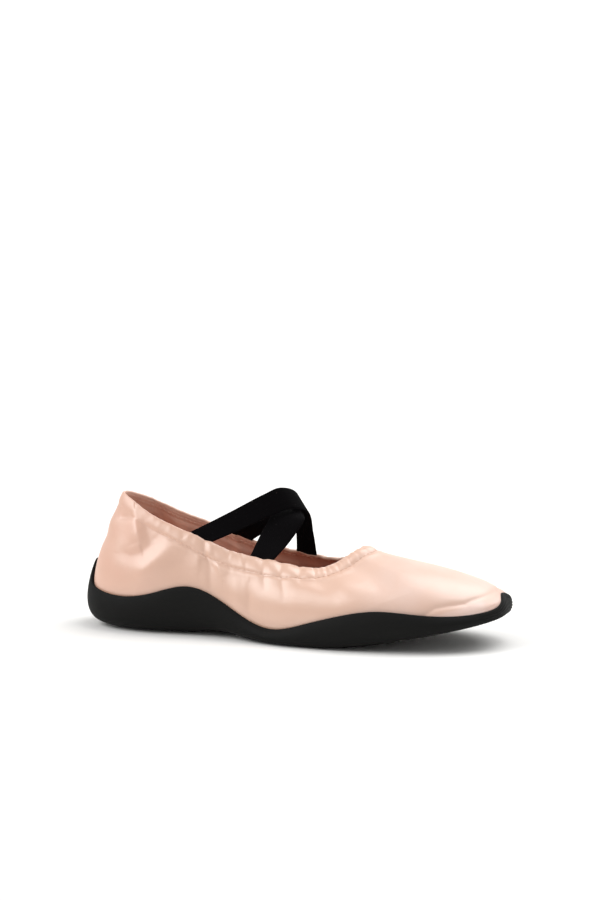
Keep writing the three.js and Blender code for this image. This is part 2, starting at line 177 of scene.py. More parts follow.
# Folds of the cloth on the outer side, each with its name, height, widths, power, and line of (section,
# millimetres below the collar). The height is a ridge's, or a trough's where it is negative. The widths are
# its half-widths on the two sides of the line: heelward and toeward where the line runs down, lower and
# upper where it runs towards the toe. The lower the power, the sharper its crest.
FOLDS = [
    ("heel facet", 2.0, (7.0, 2.8), 1.5, [(2.7, 4.0), (3.14, 11.6), (3.36, 17.0)]),
    ("heel facet top", -0.8, (2.0, 3.5), 1.7, [(1.9, 12.5), (2.78, 7.0)]),
    ("heel dent", -0.9, (3.2, 4.5), 2, [(3.3, 6.0), (3.56, 9.8), (3.78, 14.0)]),
    ("heel crease", -0.7, (3.2, 5.0), 1.8,
     [(3.94, 7.5), (3.68, 16.8), (3.5, 22.4), (3.2, 26.5), (2.8, 28.5)]),
    ("heel fold", 2.0, (5.5, 8.0), 1.9,
     [(4.5, 9.5), (4.24, 16.9), (4.04, 23.2), (3.78, 30.6), (3.66, 38.0)]),
    ("heel back roll", 0.5, (5.0, 5.0), 2, [(0.0, 17.0), (0.9, 18.0), (1.8, 18.0)]),
    ("heel back hollow", -0.6, (5.0, 5.0), 2, [(0.0, 28.0), (0.9, 27.0), (1.9, 26.0)]),
    ("casing dip", -0.4, (1.5, 2.0), 1.7, [(4.56, -1.0), (4.7, 6.5)]),
    ("casing fold", -0.7, (1.3, 1.8), 1.5, [(5.24, -1.0), (5.4, 8.0)]),
    ("casing bulge", 0.6, (1.6, 2.8), 2, [(5.46, -1.0), (5.54, 7.5)]),
    ("quarter patch", 0.8, (3.8, 1.7), 1.6, [(5.2, 8.5), (5.26, 18.0)]),
    ("quarter crease", -0.7, (1.5, 1.6), 1.4, [(5.34, 7.0), (5.62, 12.5)]),
    ("strap patch", 0.8, (1.8, 4.0), 1.6, [(5.78, 9.0), (5.98, 17.0)]),
    ("strap trough", -0.7, (2.4, 2.6), 1.8, [(5.56, 12.0), (5.7, 26.0)]),
    ("strap gather", -0.35, (1.4, 2.0), 1.6, [(6.1, -1.0), (6.22, 10.5)]),
    ("waist gather", -0.35, (1.4, 2.0), 1.6, [(6.84, -1.0), (6.9, 11.5)]),
    ("waist fold", 0.6, (5.0, 3.0), 2, [(6.5, 15.0), (6.7, 35.0)]),
    ("waist trough", -0.6, (2.0, 4.0), 2, [(7.06, 18.0), (7.04, 36.0)]),
    ("rear pleat", -0.75, (2.2, 2.6), 1.5, [(7.54, -2.0), (7.66, 6.0), (7.7, 12.0), (7.78, 19.0)]),
    ("rear lobe", 0.4, (3.0, 3.4), 2, [(7.9, -1.0), (8.02, 16.0)]),
    ("middle pleat", -0.6, (1.8, 2.8), 1.5, [(8.28, -2.0), (8.36, 8.0), (8.38, 15.0), (8.46, 25.0)]),
    ("middle lobe", 0.35, (3.0, 3.4), 2, [(8.7, -1.0), (8.72, 14.0)]),
    ("front pleat", -0.6, (1.7, 2.8), 1.5, [(9.12, -2.0), (9.06, 6.0), (9.04, 13.0)]),
    ("front lobe", 0.45, (3.0, 3.6), 2, [(9.4, -1.0), (9.38, 12.0)]),
    ("ball crease", -0.6, (3.0, 1.2), 1.6, [(8.9, 13.4), (9.7, 13.8)]),
    ("ball hollow", -0.9, (5.0, 7.0), 2, [(9.55, 13.5), (9.8, 19.0), (10.0, 27.0)]),
    ("throat pucker 1", -0.42, (0.8, 1.3), 1.7, [(9.78, -1.0), (9.6, 12.0)]),
    ("throat pucker 2", -0.2, (0.8, 1.2), 1.7, [(10.0, -1.0), (9.88, 11.5)]),
    ("throat pucker 3", -0.48, (0.9, 1.4), 1.7, [(10.42, -1.0), (10.12, 11.5)]),
    ("throat pucker 4", -0.24, (0.8, 1.2), 1.7, [(10.7, -1.0), (10.46, 10.5)]),
    ("throat pucker 5", -0.44, (0.9, 1.5), 1.7, [(11.22, -1.0), (10.74, 11.5)]),
    ("throat pucker 6", -0.22, (0.9, 1.4), 1.7, [(11.55, -1.0), (11.16, 10.0)]),
    ("throat pucker 7", -0.42, (0.9, 1.6), 1.7, [(12.24, -1.0), (11.66, 10.5)]),
    ("throat pucker 8", -0.29, (0.9, 1.4), 1.7, [(13.2, -1.0), (12.6, 8.5)]),
    ("throat pucker 9", -0.23, (0.9, 1.4), 1.7, [(14.4, -1.0), (14.0, 7.5)]),
    ("throat ridge", 0.2, (6.0, 6.0), 2, [(10.5, 16.0), (10.34, 28.0), (10.18, 42.0)]),
    ("vamp hollow", -2.9, (11.0, 13.0), 2, [(11.7, 7.0), (11.75, 26.0), (11.45, 48.0)]),
    ("toe crease", -0.8, (0.9, 1.6), 1.5,
     [(12.0, 67.5), (12.54, 68.1), (13.12, 72.7), (13.58, 76.3), (14.18, 78.0), (14.84, 79.8),
      (15.6, 80.6)]),
    ("toe lip", 1.6, (3.0, 4.2), 1.8,
     [(12.5, 73.5), (13.12, 79.6), (13.58, 83.4), (14.18, 86.4), (14.84, 88.0), (15.6, 87.6)]),
]
# The inner side's folds are the outer side's, moved a little along the shoe and made softer
INNER_SHIFT = 0.22
INNER_SHARE = 0.85


def linear(hex_colour):
    """The linear colour of an sRGB hex value, with full alpha."""
    parts = [int(hex_colour[k:k + 2], 16) / 255 for k in (1, 3, 5)]
    return tuple(c / 12.92 if c <= 0.04045 else ((c + 0.055) / 1.055) ** 2.4 for c in parts) + (1.0,)


def shade(colour, red=1.0, green=1.0, blue=1.0):
    """A property's colour, multiplied part by part, with full alpha."""
    return (colour[0] * red, colour[1] * green, colour[2] * blue, 1.0)


def smoothstep(value, low, high):
    """Zero up to the low value, one from the high value on, and a soft step between them."""
    share = np.clip((value - low) / (high - low), 0, 1)
    return share * share * (3 - 2 * share)


def bell(distance, half_width):
    """A bell curve of height one."""
    return np.exp(-(distance / half_width) ** 2)


def unit(vectors):
    """Vectors at a length of one."""
    return vectors / np.linalg.norm(vectors, axis=-1, keepdims=True)


def lengths_along(points):
    """The lengths along rows of points, each from its first point."""
    steps = np.linalg.norm(np.diff(points, axis=-2), axis=-1)
    return np.concatenate([0 * steps[..., :1], np.cumsum(steps, axis=-1)], axis=-1)


def closed_spline(knots, period, values):
    """A smooth closed curve through values at rising knots. The last piece leads back to the first."""
    count = len(values)
    span = np.diff(np.append(knots, period))
    slope = (np.roll(values, -1) - values) / span
    system = np.diag(2 * (span + np.roll(span, 1)))
    for i in range(count):
        system[i, i - 1] += span[i - 1]
        system[i, (i + 1) % count] += span[i]
    bend = np.linalg.solve(system, 6 * (slope - np.roll(slope, 1)))

    def at(distance):
        distance = np.mod(distance, period)
        i = np.searchsorted(knots, distance, side="right") - 1
        after = (i + 1) % count
        b = (distance - knots[i]) / span[i]
        a = 1 - b
        curve = ((a ** 3 - a) * bend[i] + (b ** 3 - b) * bend[after]) * span[i] ** 2 / 6
        return a * values[i] + b * values[after] + curve

    return at


def bezier(controls, share):
    """Points of a cubic curve at each share, for each row of four control points."""
    a, b, c, d = (points[:, None, :] for points in controls)
    t = share[..., None]
    return a * (1 - t) ** 3 + 3 * b * t * (1 - t) ** 2 + 3 * c * t * t * (1 - t) + d * t ** 3


class Last:
    """The shoe's form as functions of the distance round the sole's edge, in millimetres from the heel."""

    def __init__(self, sizes):
        self.length = sizes.last_length / MM
        self.wall_thickness = sizes.wall_thickness / MM
        width = sizes.ball_width / MM
        section = np.arange(SECTIONS)
        on_outer = section <= TOE_SECTION
        row = np.where(on_outer, section, SECTIONS - section)
        side = np.where(on_outer, -1, 1) * width / 100
        value = {name: column[row] for name, column in {**FOOT, **WALLS}.items()}
        value["x"] = value["along"] * self.length / 100
        value["y"] = side * np.where(on_outer, value["outer"], value["inner"])
        value["collar_x"] = value["collar_along"] * self.length / 100
        value["collar_y"] = side * value["collar_across"]
        steps = np.hypot(np.roll(value["x"], -1) - value["x"], np.roll(value["y"], -1) - value["y"])
        self.knots = np.concatenate([[0], np.cumsum(steps)])
        self.at = {name: closed_spline(self.knots[:-1], self.knots[-1], v) for name, v in value.items()}

    def distance(self, section):
        """The distance round the shoe at section numbers, which may have fractions."""
        return np.interp(np.mod(section, SECTIONS), np.arange(SECTIONS + 1), self.knots)

    def around(self, section):
        """The distances at stations round the shoe, and at last the whole way round."""
        return np.append(self.distance(section), self.knots[-1])

    def toe_spring(self, x):
        """How far the sole's toe end springs up from the floor."""
        share = np.clip((x - TOE_SPRING_START) / (self.length - TOE_SPRING_START), 0, None)
        return TOE_SPRING * share ** TOE_SPRING_POWER

    def tread_z(self, x, towards_inner):
        """The height of the tread, from the outer side at zero to the inner side at one."""
        bevel = HEEL_BEVEL * np.clip(1 - x / HEEL_BEVEL_LENGTH, 0, None) ** 2
        share = np.clip((x - ARCH_START) / (ARCH_END - ARCH_START), 0, 1)
        arch = (ARCH_OUTER + (ARCH_INNER - ARCH_OUTER) * towards_inner) * np.sin(np.pi * share) ** 2
        return self.toe_spring(x) + bevel + arch

    def seat_z(self, x):
        """The height of the sole's seat, which the footbed lies on."""
        to_ball = smoothstep(x, SEAT_FALL[0] * self.length, SEAT_FALL[1] * self.length)
        to_toe = smoothstep(x, TOE_SPRING_START, TOE_THINNED * self.length)
        thickness = HEEL_SEAT + (FOREFOOT_SEAT - HEEL_SEAT) * to_ball
        return thickness - (FOREFOOT_SEAT - TOE_SEAT) * to_toe + self.toe_spring(x)

    def outline(self, distance):
        """Points of the last's outline, on the floor."""
        return np.stack([self.at["x"](distance), self.at["y"](distance), 0 * distance], -1)

    def outward(self, distance):
        """Directions out of the outline, along the floor."""
        step = 0.5
        run = unit(self.outline(distance + step) - self.outline(distance - step))
        return np.stack([run[:, 1], -run[:, 0], 0 * distance], -1)

    def wall(self, distance):
        """The four control points of the upper's outer wall, from its foot up to the collar."""
        outward = self.outward(distance)
        outline = self.outline(distance)
        foot = outline - TURN_IN * outward
        foot[:, 2] = self.seat_z(foot[:, 0]) + GAP
        bulge = outline + outward * self.at["flare"](distance)[:, None]
        bulge[:, 2] = foot[:, 2] + self.at["rise"](distance)
        collar = np.stack([self.at[name](distance) for name in ("collar_x", "collar_y", "collar_up")], -1)
        shoulder = collar + (bulge - collar) * self.at["reach"](distance)[:, None]
        shoulder[:, 2] = collar[:, 2] - self.at["drop"](distance)
        return foot, bulge, shoulder, collar

    def wall_point(self, section, below):
        """A point of the bare wall at a section and a length below the collar."""
        grid = WallGrid(self, np.array([section]), lambda length: np.array([[below]]))
        return grid.points[0, 0]


class WallGrid:
    """The bare wall as a grid of stations by rows: points, normals and lengths below the collar."""

    SAMPLES = 200

    def __init__(self, last, section, levels):
        distance = last.distance(section)
        controls = last.wall(distance)
        share = np.broadcast_to(np.linspace(1, 0, self.SAMPLES), (len(section), self.SAMPLES))
        run = lengths_along(bezier(controls, share))
        self.section = section
        self.length = run[:, -1]
        self.below = np.clip(levels(self.length[:, None]), 0, self.length[:, None])
        shares = np.stack([np.interp(b, r, share[0]) for b, r in zip(self.below, run)])
        self.points = bezier(controls, shares)
        step = 0.25
        ahead = bezier(last.wall(distance + step), shares)
        behind = bezier(last.wall(distance - step), shares)
        small = 0.01
        upper = bezier(controls, np.clip(shares + small, 0, 1))
        lower = bezier(controls, np.clip(shares - small, 0, 1))
        self.up = unit(upper - lower)
        self.normal = unit(np.cross(ahead - behind, self.up))


class Fold:
    """A soft ridge or trough along a line on the wall, which fades out towards the line's ends."""

    STEPS = 8
    # Sections beyond its line that it is worked out for: at least so many, and more for a broad fold
    LEAST_MARGIN = 2.5
    MARGIN_PER_WIDTH = 0.62
    # Along the line its height follows a half turn of a sine, without the two ends of that half turn
    END_PHASE = 0.1
    TAPER_POWER = 0.7

    def __init__(self, last, line, height, widths, power):
        place = np.linspace(0, len(line) - 1, self.STEPS * (len(line) - 1) + 1)
        sections, belows = (np.interp(place, np.arange(len(line)), column) for column in zip(*line))
        grid = WallGrid(last, sections, lambda length: belows[:, None])
        self.sections = sections
        self.points = grid.points[:, 0]
        run = np.gradient(self.points, axis=0)
        self.pace = np.linalg.norm(run, axis=1)
        self.run = unit(run)
        self.sides = unit(np.cross(grid.normal[:, 0], run))
        self.height = height
        self.widths = widths
        self.power = power

    def add_to(self, total, grid):
        """Adds the fold's height at the grid's points to total, near the line only."""
        middle = self.sections.mean()
        margin = max(self.LEAST_MARGIN, self.MARGIN_PER_WIDTH * max(self.widths))
        half = np.abs(self.sections - middle).max() + margin
        gap = grid.section - middle
        near = np.abs(gap - SECTIONS * np.round(gap / SECTIONS)) < half
        away = grid.points[near][:, :, None] - self.points
        nearest = (away ** 2).sum(-1).argmin(-1)
        away = np.take_along_axis(away, nearest[..., None, None], axis=2)[:, :, 0]
        side = (away * self.sides[nearest]).sum(-1)
        width = np.where(side < 0, self.widths[0], self.widths[1])
        end = len(self.points) - 1
        place = nearest + (away * self.run[nearest]).sum(-1) / self.pace[nearest]
        beyond = (place - np.clip(place, 0, end)) * self.pace[nearest]
        phase = self.END_PHASE + (1 - 2 * self.END_PHASE) * np.clip(place / end, 0, 1)
        taper = np.sin(np.pi * phase) ** self.TAPER_POWER
        total[near] += self.height * taper * np.exp(-(np.hypot(side, beyond) / width) ** self.power)


class Drape:
    """The relief of the upper's cloth over its bare wall: casing, gathers and folds."""

    SEED = 7
    COLLAR_STEPS = 12
    # Lowest value and spread of a pucker's random parts: its place in its stretch of the collar, its height
    # as a share of the zone's, its half-width as a share of the stretch, its reach as a share of the zone's,
    # and its slant
    PUCKER_PARTS = ((0.2, 0.6), (0.35, 0.9), (0.2, 0.16), (0.5, 1.0), (-0.25, 0.5))
    # Millimetres below the collar at which a pucker is twice as wide as at the top
    PUCKER_DOUBLED = 22
    # The share by which the stitches hold the puckers down, and the half-width over which they do
    HELD_SHARE = 0.55
    HELD_WIDTH = 1.1
    # Puckers and folds fade out over this height above the sole's seat
    FOOT_FADE = 6
    # They push the collar's edge up and down by this share, over this length below it
    EDGE_LIFT = 0.7
    EDGE_REACH = 5.0
    # Sections from the heel between which the seam starts to draw the cloth in, the casing rises to its full
    # height, and the cloth at the throat becomes looser
    DRAWN = (2.6, 5.0)
    STANDING = (2.8, 4.4)
    LOOSE = (8.0, 10.0)
    HEEL_STANDING = 0.45
    # The casing's crown: its middle and half-width as shares of the casing, and its power, which doubles
    # at the throat
    CROWN = (0.47, 0.57)
    CROWN_POWER = 0.5
    # The groove at the stitches, in millimetres, and the share by which it is shallower at the throat
    GROOVE_DEPTH = 0.4
    GROOVE_WIDTH = 0.8
    GROOVE_EASED = 0.6
    # It is uneven by this share, in two waves with their pace over the sections and their start
    GROOVE_UNEVEN = 0.4
    GROOVE_WAVES = ((2.1, 0), (0.8, 1))
    # The fuller cloth below the stitches, in millimetres
    LIP_HEIGHT = 0.25
    LIP_BELOW = 2.6
    LIP_WIDTH = 2.0

    def __init__(self, last, sizes):
        self.last = last
        self.casing = sizes.casing_width / MM
        self.rise = sizes.casing_rise / MM
        self.gather_share = sizes.gather_share
        self.folds = []
        for _, full_height, widths, power, line in FOLDS:
            height = full_height * sizes.fold_share
            self.folds.append(Fold(last, line, height, widths, power))
            inner = [(SECTIONS - section - INNER_SHIFT, below) for section, below in line]
            self.folds.append(Fold(last, inner, height * INNER_SHARE, widths[::-1], power))
        self.puckers = self.spread_puckers()

    def spread_puckers(self):
        """One row for each pucker: its place along the collar, height, half-width, reach and slant."""
        rng = np.random.default_rng(self.SEED)
        even = np.linspace(0, SECTIONS, SECTIONS * self.COLLAR_STEPS, endpoint=False)
        collar = WallGrid(self.last, even, lambda length: 0 * length).points[:, 0]
        self.collar_sections = np.append(even, SECTIONS)
        self.collar_run = lengths_along(np.concatenate([collar, collar[:1]]))
        self.collar_length = self.collar_run[-1]
        rows = []
        for zone in GATHERS:
            for ends in ((zone["start"], zone["end"]), (SECTIONS - zone["end"], SECTIONS - zone["start"])):
                start, end = np.interp(ends, self.collar_sections, self.collar_run)
                count = max(1, round((end - start) / zone["spacing"]))
                pitch = (end - start) / count
                for k in range(count):
                    draws = zip(self.PUCKER_PARTS, rng.random(len(self.PUCKER_PARTS)))
                    parts = (low + spread * draw for (low, spread), draw in draws)
                    place, height, width, reach, slant = parts
                    rows.append((start + pitch * (k + place), zone["depth"] * height, pitch * width,
                                 zone["reach"] * reach, slant))
        return rows

    def casing_at(self, section):
        """The casing's width at sections, down to its line of stitches."""
        from_heel = np.minimum(section, SECTIONS - section)
        return self.casing * np.interp(from_heel, CASING_SECTIONS, CASING_SHARES)

    def casing_relief(self, grid):
        """A soft tube round the elastic, a groove at its stitches, and fuller cloth below them."""
        width = self.casing_at(grid.section)[:, None]
        from_heel = np.minimum(grid.section, SECTIONS - grid.section)[:, None]
        standing = self.HEEL_STANDING + (1 - self.HEEL_STANDING) * smoothstep(from_heel, *self.STANDING)
        loose = smoothstep(from_heel, *self.LOOSE)
        middle, half = self.CROWN
        crown = np.clip(1 - ((grid.below - middle * width) / (half * width)) ** 2, 0, None)
        crown = crown ** (self.CROWN_POWER * (1 + loose))
        waves = [np.sin(pace * from_heel + start) for pace, start in self.GROOVE_WAVES]
        uneven = 1 - self.GROOVE_UNEVEN * (1 - waves[0] * waves[1])
        groove = self.GROOVE_DEPTH * (1 - self.GROOVE_EASED * loose) * uneven
        groove = groove * bell(grid.below - width, self.GROOVE_WIDTH)
        lip = self.LIP_HEIGHT * bell(grid.below - width - self.LIP_BELOW, self.LIP_WIDTH)
        return self.rise * standing * crown + smoothstep(from_heel, *self.DRAWN) * (lip - groove)

    def gather_relief(self, grid):
        """The puckers along the collar, held down at the casing's stitches."""
        around = np.interp(np.mod(grid.section, SECTIONS), self.collar_sections, self.collar_run)[:, None]
        below_seam = grid.below - self.casing_at(grid.section)[:, None]
        total = np.zeros(grid.below.shape)
        for place, height, width, reach, slant in self.puckers:
            gap = around - place - slant * grid.below
            gap = gap - self.collar_length * np.round(gap / self.collar_length)
            spread = width * (1 + grid.below / self.PUCKER_DOUBLED)
            total += height * bell(gap, spread) * bell(grid.below, reach)
        return total * (1 - self.HELD_SHARE * bell(below_seam, self.HELD_WIDTH))

    def shape(self, grid):
        """How far the cloth stands out from the bare wall, and how far its top edge is pushed up."""
        loose = self.gather_share * self.gather_relief(grid)
        for fold in self.folds:
            fold.add_to(loose, grid)
        loose *= smoothstep(grid.length[:, None] - grid.below, 0, self.FOOT_FADE)
        lift = self.EDGE_LIFT * loose * bell(grid.below, self.EDGE_REACH)
        return loose + self.casing_relief(grid), lift

    def place(self, grid, shape, depth=0.0):
        """The cloth's points on the wall, at a depth under its face."""
        relief, lift = shape
        return grid.points + grid.normal * (relief - depth)[..., None] + grid.up * lift[..., None]


# Meshes

def ring_quads(stations, rows):
    """Corner numbers of a grid that closes both ways, and the station and row that each corner reads."""
    i, j = np.meshgrid(np.arange(stations), np.arange(rows), indexing="ij")
    corner_i = np.stack([i, i + 1, i + 1, i], -1).reshape(-1, 4)
    corner_j = np.stack([j, j, j + 1, j + 1], -1).reshape(-1, 4)
    return (corner_i % stations) * rows + corner_j % rows, corner_i, corner_j


def new_piece(context, name, points, faces, uv=None):
    """A smooth mesh piece from points in the last's millimetres, riding on the shoe's one body."""
    mesh = bpy.data.meshes.new(name)
    mesh.from_pydata(((points + LAST_ORIGIN) * MM).tolist(), [], [tuple(face) for face in faces])
    mesh.validate()
    mesh.shade_smooth()
    if uv is not None:
        layer = mesh.uv_layers.new(name="cloth")
        layer.uv.foreach_set("vector", np.asarray(uv, np.float32).ravel())
    piece = bpy.data.objects.new(name, mesh)
    context.scene.collection.objects.link(piece)
    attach(piece, BODY)
    return piece


def ring_piece(context, name, rows, around, up):
    """A closed ring from rows of points at each station. around and up are its lengths of cloth."""
    stations, count = rows.shape[:2]
    quads, i, j = ring_quads(stations, count)
    up = np.concatenate([up, up[:, :1]], axis=1)
    uv = np.stack([around[i] * MM, up[i % stations, j] * MM], -1).reshape(-1, 2)
    return new_piece(context, name, rows.reshape(-1, 3), quads.tolist(), uv)


class Shell:
    """Points of a solid whose sides are rings and whose ends are lids across it."""

    def __init__(self):
        self.points = []
        self.faces = []

    def add(self, points):
        """Adds points and returns their numbers."""
        start = sum(len(p) for p in self.points)
        self.points.append(np.asarray(points, float).reshape(-1, 3))
        return start + np.arange(len(self.points[-1]))

    def strip(self, row, after):
        """Faces between two rows of point numbers. Where two corners are one point, a face has three."""
        for k in range(len(row) - 1):
            corners = [row[k], after[k], after[k + 1], row[k + 1]]
            kept = [c for n, c in enumerate(corners) if c != corners[n - 1]]
            if len(kept) > 2:
                self.faces.append(kept)

    def sides(self, rows):
        """Sides from rows of points at each station, which close round the shoe."""
        stations, count = rows.shape[:2]
        numbers = self.add(rows).reshape(stations, count)
        for i in range(stations):
            self.strip(numbers[i], numbers[(i + 1) % stations])
        return numbers

    def tube(self, rings, inside_out):
        """A tube from rings of points, with flat ends. Rings that turn the other way are inside out."""
        numbers = self.add(rings).reshape(rings.shape[:2])
        closed = np.concatenate([numbers, numbers[:, :1]], axis=1)
        for row, after in zip(closed[:-1], closed[1:]):
            if inside_out:
                self.strip(after, row)
            else:
                self.strip(row, after)
        turned = -1 if inside_out else 1
        self.faces.append(numbers[0][::turned])
        self.faces.append(numbers[-1][::-turned])

    def lid(self, edge, numbers, shares, height_at, faces_up):
        """A lid across a ring of edge points, which joins each station to the one facing it."""
        stations = len(edge)
        rows = []
        for i in range(stations // 2 + 1):
            facing = (stations - i) % stations
            if facing == i:
                between = np.full(len(shares), numbers[i])
            else:
                points = edge[i] + (edge[facing] - edge[i]) * shares[:, None]
                points[:, 2] = height_at(points, shares)
                between = self.add(points)
            rows.append(np.concatenate([[numbers[i]], between, [numbers[facing]]]))
        for row, after in zip(rows[:-1], rows[1:]):
            if faces_up:
                self.strip(row, after)
            else:
                self.strip(after, row)

    def piece(self, context, name):
        """The solid as a mesh piece."""
        faces = [list(map(int, face)) for face in self.faces]
        return new_piece(context, name, np.concatenate(self.points), faces)


# Materials

def add_node(tree, kind, inputs=None, **settings):
    """Adds a node with its settings. Each input is a value, or an output of another node to link to."""
    node = tree.nodes.new(kind)
    for name, setting in settings.items():
        setattr(node, name, setting)
    for socket, value in (inputs or {}).items():
        if isinstance(value, bpy.types.NodeSocket):
            tree.links.new(value, node.inputs[socket])
        else:
            node.inputs[socket].default_value = value
    return node


def new_material(name):
    """An empty material and its node tree."""
    material = bpy.data.materials.new(name)
    material.use_nodes = True
    material.node_tree.nodes.clear()
    return material, material.node_tree


def satin_finish(colour):
    """Polyester satin, woven with long floats: pale, with broad soft highlights across the threads."""
    material, tree = new_material("polyester_satin_woven")
    # The real threads lie 0.1 mm apart, too fine to show, so the floats are drawn four times as coarse
    thread = 0.4 * MM
    float_length = 8 * thread
    slub = 14 * MM
    cloth = add_node(tree, "ShaderNodeUVMap", uv_map="cloth")
    place = add_node(tree, "ShaderNodeTexCoord").outputs["Object"]
    stretched = add_node(tree, "ShaderNodeMapping",
                         {"Vector": cloth.outputs["UV"], "Scale": (1 / float_length, 1 / thread, 1)})
    floats = add_node(tree, "ShaderNodeTexNoise",
                      {"Vector": stretched.outputs["Vector"], "Scale": 1, "Detail": 2, "Roughness": 0.6})
    waves = add_node(tree, "ShaderNodeTexNoise",
                     {"Vector": place, "Scale": 1 / slub, "Detail": 2.5, "Roughness": 0.5})
    weave = add_node(tree, "ShaderNodeBump",
                     {"Height": floats.outputs["Fac"], "Strength": 0.05, "Distance": 0.1 * MM})
    soft = add_node(tree, "ShaderNodeBump",
                    {"Height": waves.outputs["Fac"], "Normal": weave.outputs["Normal"],
                     "Strength": 0.25, "Distance": 1.2 * MM})
    # The satin is painted pinker and darker round the heel, as painted shade, and paler towards the toe, as
    # a painted highlight of the softbox overhead
    along = add_node(tree, "ShaderNodeSeparateXYZ", {"Vector": place}).outputs["X"]
    heel_painted_shading = shade(colour, 1.03, 0.89, 0.87)
    heel_start = (-40 * MM, -110 * MM)
    toe_painted_highlight = shade(colour, 1.0, 1.11, 1.25)
    toe_start = (32 * MM, 70 * MM)
    # The band under the toe's crease is paler still, a painted reflection of the pale floor. It lies below a
    # line that rises towards the tip.
    band_painted_reflection = shade(colour, 1.12, 1.36, 1.68)
    band_edge = (-3.6 * MM, -5.2 * MM)
    crease_slope = 0.28
    over_crease = add_node(tree, "ShaderNodeVectorMath", {0: place, 1: (-crease_slope, 0, 1)},
                           operation="DOT_PRODUCT").outputs["Value"]
    # A darker, pinker spot is painted on both sides of the tip, where the band ends: painted shade
    tip_painted_shade = shade(colour, 0.97, 0.76, 0.74)
    spot = (118.2 * MM, 0, 30.4 * MM)
    spot_edge = (5.5 * MM, 1.5 * MM)
    side_on = add_node(tree, "ShaderNodeMapping", {"Vector": place, "Scale": (1, 0, 1)})
    from_spot = add_node(tree, "ShaderNodeVectorMath", {0: side_on.outputs["Vector"], 1: spot},
                         operation="DISTANCE").outputs["Value"]
    # Each tone fades in over the ones before it, while its value runs from one limit to the other
    tint = shade(colour)
    for value, limits, tone in ((along, heel_start, heel_painted_shading), (along, toe_start, toe_painted_highlight),
                                (over_crease, band_edge, band_painted_reflection), (from_spot, spot_edge, tip_painted_shade)):
        fade = add_node(tree, "ShaderNodeMapRange",
                        {"Value": value, "From Min": limits[0], "From Max": limits[1]},
                        interpolation_type="SMOOTHSTEP")
        toned = add_node(tree, "ShaderNodeMix", {"Factor": fade.outputs["Result"], "A": tint, "B": tone},
                         data_type="RGBA")
        tint = toned.outputs["Result"]
    clouded = add_node(tree, "ShaderNodeMix",
                       {"Factor": waves.outputs["Fac"], "A": tint, "B": shade(colour, 0.97, 0.93, 0.91)},
                       data_type="RGBA")
    tangent = add_node(tree, "ShaderNodeTangent", direction_type="UV_MAP", uv_map="cloth")
    shader = add_node(
        tree, "ShaderNodeBsdfPrincipled",
        {"Base Color": clouded.outputs["Result"], "Normal": soft.outputs["Normal"],
         "Tangent": tangent.outputs["Tangent"], "Roughness": 0.4, "IOR": 1.64, "Specular IOR Level": 1.0,
         "Anisotropic": 0.5, "Sheen Weight": 0.12, "Sheen Roughness": 0.4,
         "Sheen Tint": (1.0, 0.93, 0.88, 1.0)})
    add_node(tree, "ShaderNodeOutputMaterial", {"Surface": shader.outputs["BSDF"]})
    return material


def thread_finish(colour):
    """Spun polyester sewing thread: a little paler than the satin, with a dull gloss."""
    material, tree = new_material("polyester_thread_spun")
    ply = 0.4 * MM
    place = add_node(tree, "ShaderNodeTexCoord").outputs["Object"]
    twist = add_node(tree, "ShaderNodeTexNoise", {"Vector": place, "Scale": 1 / ply, "Detail": 1})
    bump = add_node(tree, "ShaderNodeBump",
                    {"Height": twist.outputs["Fac"], "Strength": 0.3, "Distance": 0.05 * MM})
    shader = add_node(tree, "ShaderNodeBsdfPrincipled",
                      {"Base Color": shade(colour), "Normal": bump.outputs["Normal"],
                       "Roughness": 0.55, "IOR": 1.5})
    add_node(tree, "ShaderNodeOutputMaterial", {"Surface": shader.outputs["BSDF"]})
    return material


def lining_finish(colour):
    """Split-leather lining, finished smooth: a warm brown-pink with a fine, dull grain."""
    material, tree = new_material("split_leather_lining")
    grain_width = 0.9 * MM
    cloud = 12 * MM
    place = add_node(tree, "ShaderNodeTexCoord").outputs["Object"]
    grain = add_node(tree, "ShaderNodeTexVoronoi", {"Vector": place, "Scale": 1 / grain_width},
                     feature="SMOOTH_F1")
    cloudy = add_node(tree, "ShaderNodeTexNoise", {"Vector": place, "Scale": 1 / cloud, "Detail": 4})
    bump = add_node(tree, "ShaderNodeBump",
                    {"Height": grain.outputs["Distance"], "Strength": 0.3, "Distance": 0.12 * MM})
    # Painted shade: forward of the heel the lining is painted browner and darker, where less light gets in,
    # and painted light makes it lighter round the heel
    along = add_node(tree, "ShaderNodeSeparateXYZ", {"Vector": place}).outputs["X"]
    forward_painted_shade = shade(colour, 0.72, 0.66, 0.56)
    heel_painted_shading = shade(colour, 1.22, 1.5, 1.46)
    heel_start = (0, -70 * MM)
    fade = add_node(tree, "ShaderNodeMapRange",
                    {"Value": along, "From Min": heel_start[0], "From Max": heel_start[1]},
                    interpolation_type="SMOOTHSTEP")
    tint = add_node(tree, "ShaderNodeMix", {"Factor": fade.outputs["Result"], "A": forward_painted_shade, "B": heel_painted_shading},
                    data_type="RGBA")
    clouded = add_node(tree, "ShaderNodeMix",
                       {"Factor": cloudy.outputs["Fac"], "A": tint.outputs["Result"],
                        "B": shade(colour, 0.78, 0.78, 0.78)},
                       data_type="RGBA")
    shader = add_node(tree, "ShaderNodeBsdfPrincipled",
                      {"Base Color": clouded.outputs["Result"], "Normal": bump.outputs["Normal"],
                       "Roughness": 0.62, "IOR": 1.5})
    add_node(tree, "ShaderNodeOutputMaterial", {"Surface": shader.outputs["BSDF"]})
    return material


